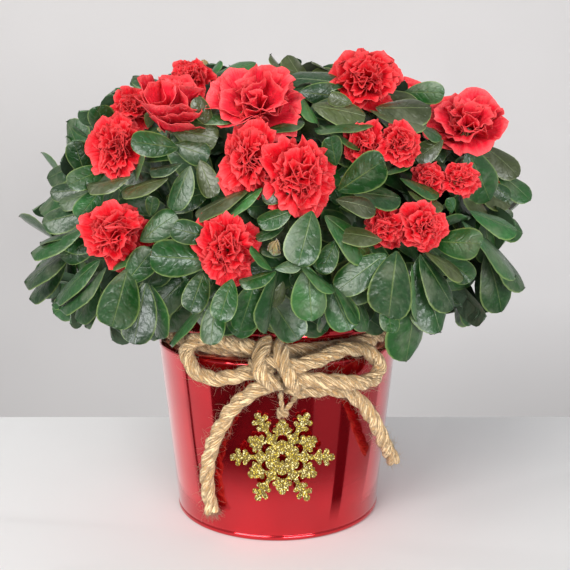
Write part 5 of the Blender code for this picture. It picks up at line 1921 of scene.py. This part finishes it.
class LeafMaker(bpy.types.Operator):
    """Makes the leaves, one piece for each colour of spray"""
    bl_idname = "azalea.leaves"
    bl_label = "Leaves"

    def execute(self, context):
        settings = context.scene.azalea_crown
        rng = random.Random(LEAF_SEED)
        shoots = all_shoots(settings)
        blooming = [shoot for shoot in shoots if shoot.width]
        neighbours = Neighbours(NEIGHBOUR_CELL)
        sprays = {"deep": [], "fresh": [], "bronze": [], "young": []}
        for colour, entries in FRONT_LEAVES.items():
            for entry in entries:
                leaf = front_leaf(*entry, rng)
                sprays[colour].append(leaf)
                neighbours.keep(blade_middle(*leaf[:3]), blade_tree(*leaf[:3]))
        for shoot in shoots:
            if shoot.width and in_front(shoot.tip):
                continue
            count = settings.leaves - 2 if shoot.inner or shoot.width else settings.leaves
            colour = spray_colour(shoot, rng)
            leaves = shoot_leaves(shoot, count, settings.leaf_length / MM, blooming, neighbours, rng)
            sprays[colour].extend(leaves)
        masses = ["foliage_" + name for name in (*RING_MASSES, *TOP_MASSES)]
        forms = [leaf_form(values) for values in LEAF_FORMS]
        for colour, leaves in sprays.items():
            finish = leaf_material("leaf_" + colour, getattr(settings, colour))
            entries = [(base * MM, axes, length * MM, *rest) for base, axes, length, *rest in leaves]
            mesh = placed_copies(forms, entries, finish)
            piece("leaves_" + colour, mesh, None, "foliage", *(masses if colour == "deep" else ()))
        return {"FINISHED"}


class BloomMaker(bpy.types.Operator):
    """Makes the blooms, their calyxes and the buds"""
    bl_idname = "azalea.blooms"
    bl_label = "Blooms"

    def execute(self, context):
        settings = context.scene.azalea_blooms
        rng = random.Random(BLOOM_SEED)
        noise.seed_set(PETAL_NOISE_SEED)
        thickness = settings.petal_thickness
        shapes = {name: Shape("petal_place") for name in ("scarlet", "crimson", "coral", "green")}
        for index, shoot in enumerate(bloom_shoots()):
            steps = FRONT_PETAL_STEPS if index < len(FRONT_BLOOMS) else BACK_PETAL_STEPS
            for foot, axis, width, form in bloom_heads(shoot):
                tint = "coral" if form in ("open", "cupped") else "scarlet" if index % 2 else "crimson"
                take_bloom(shapes[tint], foot, axis, width, form, thickness, rng, steps, shoot.tall)
                take_bloom(shapes["green"], foot - axis * width * CALYX_SETBACK, axis, width * CALYX_SIZE,
                           "calyx", thickness * CALYX_THICKNESS, rng, CALYX_STEPS)
        dome = [size + BUD_STANDING_OUT for size in SHOOT_DOME]
        for buds, seen in ((FRONT_BUDS, True), (BACK_BUDS, False)):
            for place in buds:
                spot = crown_place(*place, dome, seen)
                take_bloom(shapes["green"], spot, growth_direction(spot, BUD_LIFT), rng.uniform(*BUD_WIDTHS),
                           "bud", thickness * BUD_THICKNESS, rng, BUD_STEPS)
        red = petal_material("petal_scarlet", settings.scarlet, settings.coral)
        pink = petal_material("petal_coral", scaled(settings.scarlet, 1.0, 2.2, 2.0),
                              scaled(settings.coral, 1.25, limit=0.95))
        for tint, finish in (("scarlet", red), ("crimson", red), ("coral", pink)):
            piece("petals_" + tint, crease_sharp(shapes[tint].mesh(), PETAL_CREASE), finish, "petals")
        piece("calyxes_and_buds", shapes["green"].mesh(), bud_material("downy_bud", settings.bud), "foliage")
        return {"FINISHED"}


class RopeMaker(bpy.types.Operator):
    """Makes the rope band, the bow, its tails and the string"""
    bl_idname = "azalea.rope"
    bl_label = "Rope and string"

    def execute(self, context):
        settings = context.scene.azalea_rope
        jute = jute_material("jute_rope", settings.jute, ROPE_STREAKS)
        twine = jute_material("jute_twine", settings.jute, TWINE_STREAKS)
        fluff = jute_material("jute_fluff", FLUFF_COLOUR, FLUFF_STREAKS)
        band = [polar(360.0 * step / BAND_STEPS, *BAND) for step in range(BAND_STEPS)]
        ropes = {"rope_band": [rope_mesh(band, settings, jute, closed=True)]}
        for node, routes in BOW_ROUTES.items():
            ropes[node] = [rope_mesh(pot_route(route, 5), settings, jute) for route in routes]
        ropes["string"] = string_meshes(settings, twine)
        for node, meshes in ropes.items():
            name = node + ("_tied" if node == "string" else "_laid")
            mesh = join_meshes(meshes)
            hairs = scattered_copies(mesh.copy(), hair_form(), fluff, settings.fuzz, FIBRE_LEANS,
                                     FIBRE_LENGTHS, len(name))
            piece(name, mesh, None, "jute", node)
            piece(name + "_fluff", hairs, None, "jute")
        entries = frayed_entries(settings.rope_radius * 0.9)
        piece("frayed_ends", placed_copies([hair_form()], entries, fluff), None, "jute")
        return {"FINISHED"}


class SnowflakeMaker(bpy.types.Operator):
    """Makes the snowflake plate, its raised rosette and the glitter"""
    bl_idname = "azalea.snowflake"
    bl_label = "Snowflake"

    def execute(self, context):
        settings = context.scene.azalea_tag
        hole = arc((HOLE_DISTANCE, 0.0), LOBE_RADIUS, 0.0, 345.0, 23)
        outlines = [flake_outline(), star_outline(), *[rotated(hole, turn) for turn in lobe_turns()]]
        plate = plate_mesh(outlines, settings.thickness, FLAKE_CENTRE, FLAKE_ROUNDING * MM)
        front = FLAKE_CENTRE - Vector((0.0, settings.thickness / MM / 2.0 + 0.25, 0.0))
        rosette = plate_mesh([rosette_outline(), star_outline()], ROSETTE_THICKNESS * MM, front,
                             ROSETTE_ROUNDING * MM)
        gold = gold_material("gold_card", settings.gold, 0.42, 0.25)
        glitter = gold_material("gold_glitter", settings.gold, 0.14, 0.25)
        whole = join_meshes([plate, rosette])
        flakes = scattered_copies(whole.copy(), glitter_form(), glitter, settings.glitter, GLITTER_LEANS,
                                  GLITTER_SIZES, GLITTER_SEED)
        piece("snowflake_plate", whole, gold, "gold_glitter", "snowflake")
        piece("snowflake_glitter", flakes, None, "gold_glitter")
        return {"FINISHED"}


class AzaleaPanel(bpy.types.Panel):
    """Lists the makers of the potted azalea's pieces"""
    bl_idname = "VIEW3D_PT_azalea"
    bl_label = "Potted azalea"
    bl_space_type = "VIEW_3D"
    bl_region_type = "UI"
    bl_category = "Azalea"

    def draw(self, context):
        column = self.layout.column()
        for maker in MAKERS:
            column.operator(maker.bl_idname)


SETTINGS = {"azalea_pot": PotSettings, "azalea_crown": CrownSettings, "azalea_blooms": BloomSettings,
            "azalea_rope": RopeSettings, "azalea_tag": TagSettings, "azalea_stage": StageSettings}
MAKERS = (StageMaker, PotMaker, SoilMaker, WoodMaker, LeafMaker, BloomMaker, RopeMaker, SnowflakeMaker)


def register():
    for group in SETTINGS.values():
        bpy.utils.register_class(group)
    for name, group in SETTINGS.items():
        setattr(bpy.types.Scene, name, PointerProperty(type=group))
    for maker in (*MAKERS, AzaleaPanel):
        bpy.utils.register_class(maker)


def unregister():
    for maker in (AzaleaPanel, *MAKERS[::-1]):
        bpy.utils.unregister_class(maker)
    for name, group in SETTINGS.items():
        delattr(bpy.types.Scene, name)
        bpy.utils.unregister_class(group)


def main():
    register()
    bpy.ops.azalea.stage()
    bpy.ops.azalea.pot()
    bpy.ops.azalea.soil()
    bpy.ops.azalea.wood()
    bpy.ops.azalea.leaves()
    bpy.ops.azalea.blooms()
    bpy.ops.azalea.rope()
    bpy.ops.azalea.snowflake()


if __name__ == "__main__":
    main()
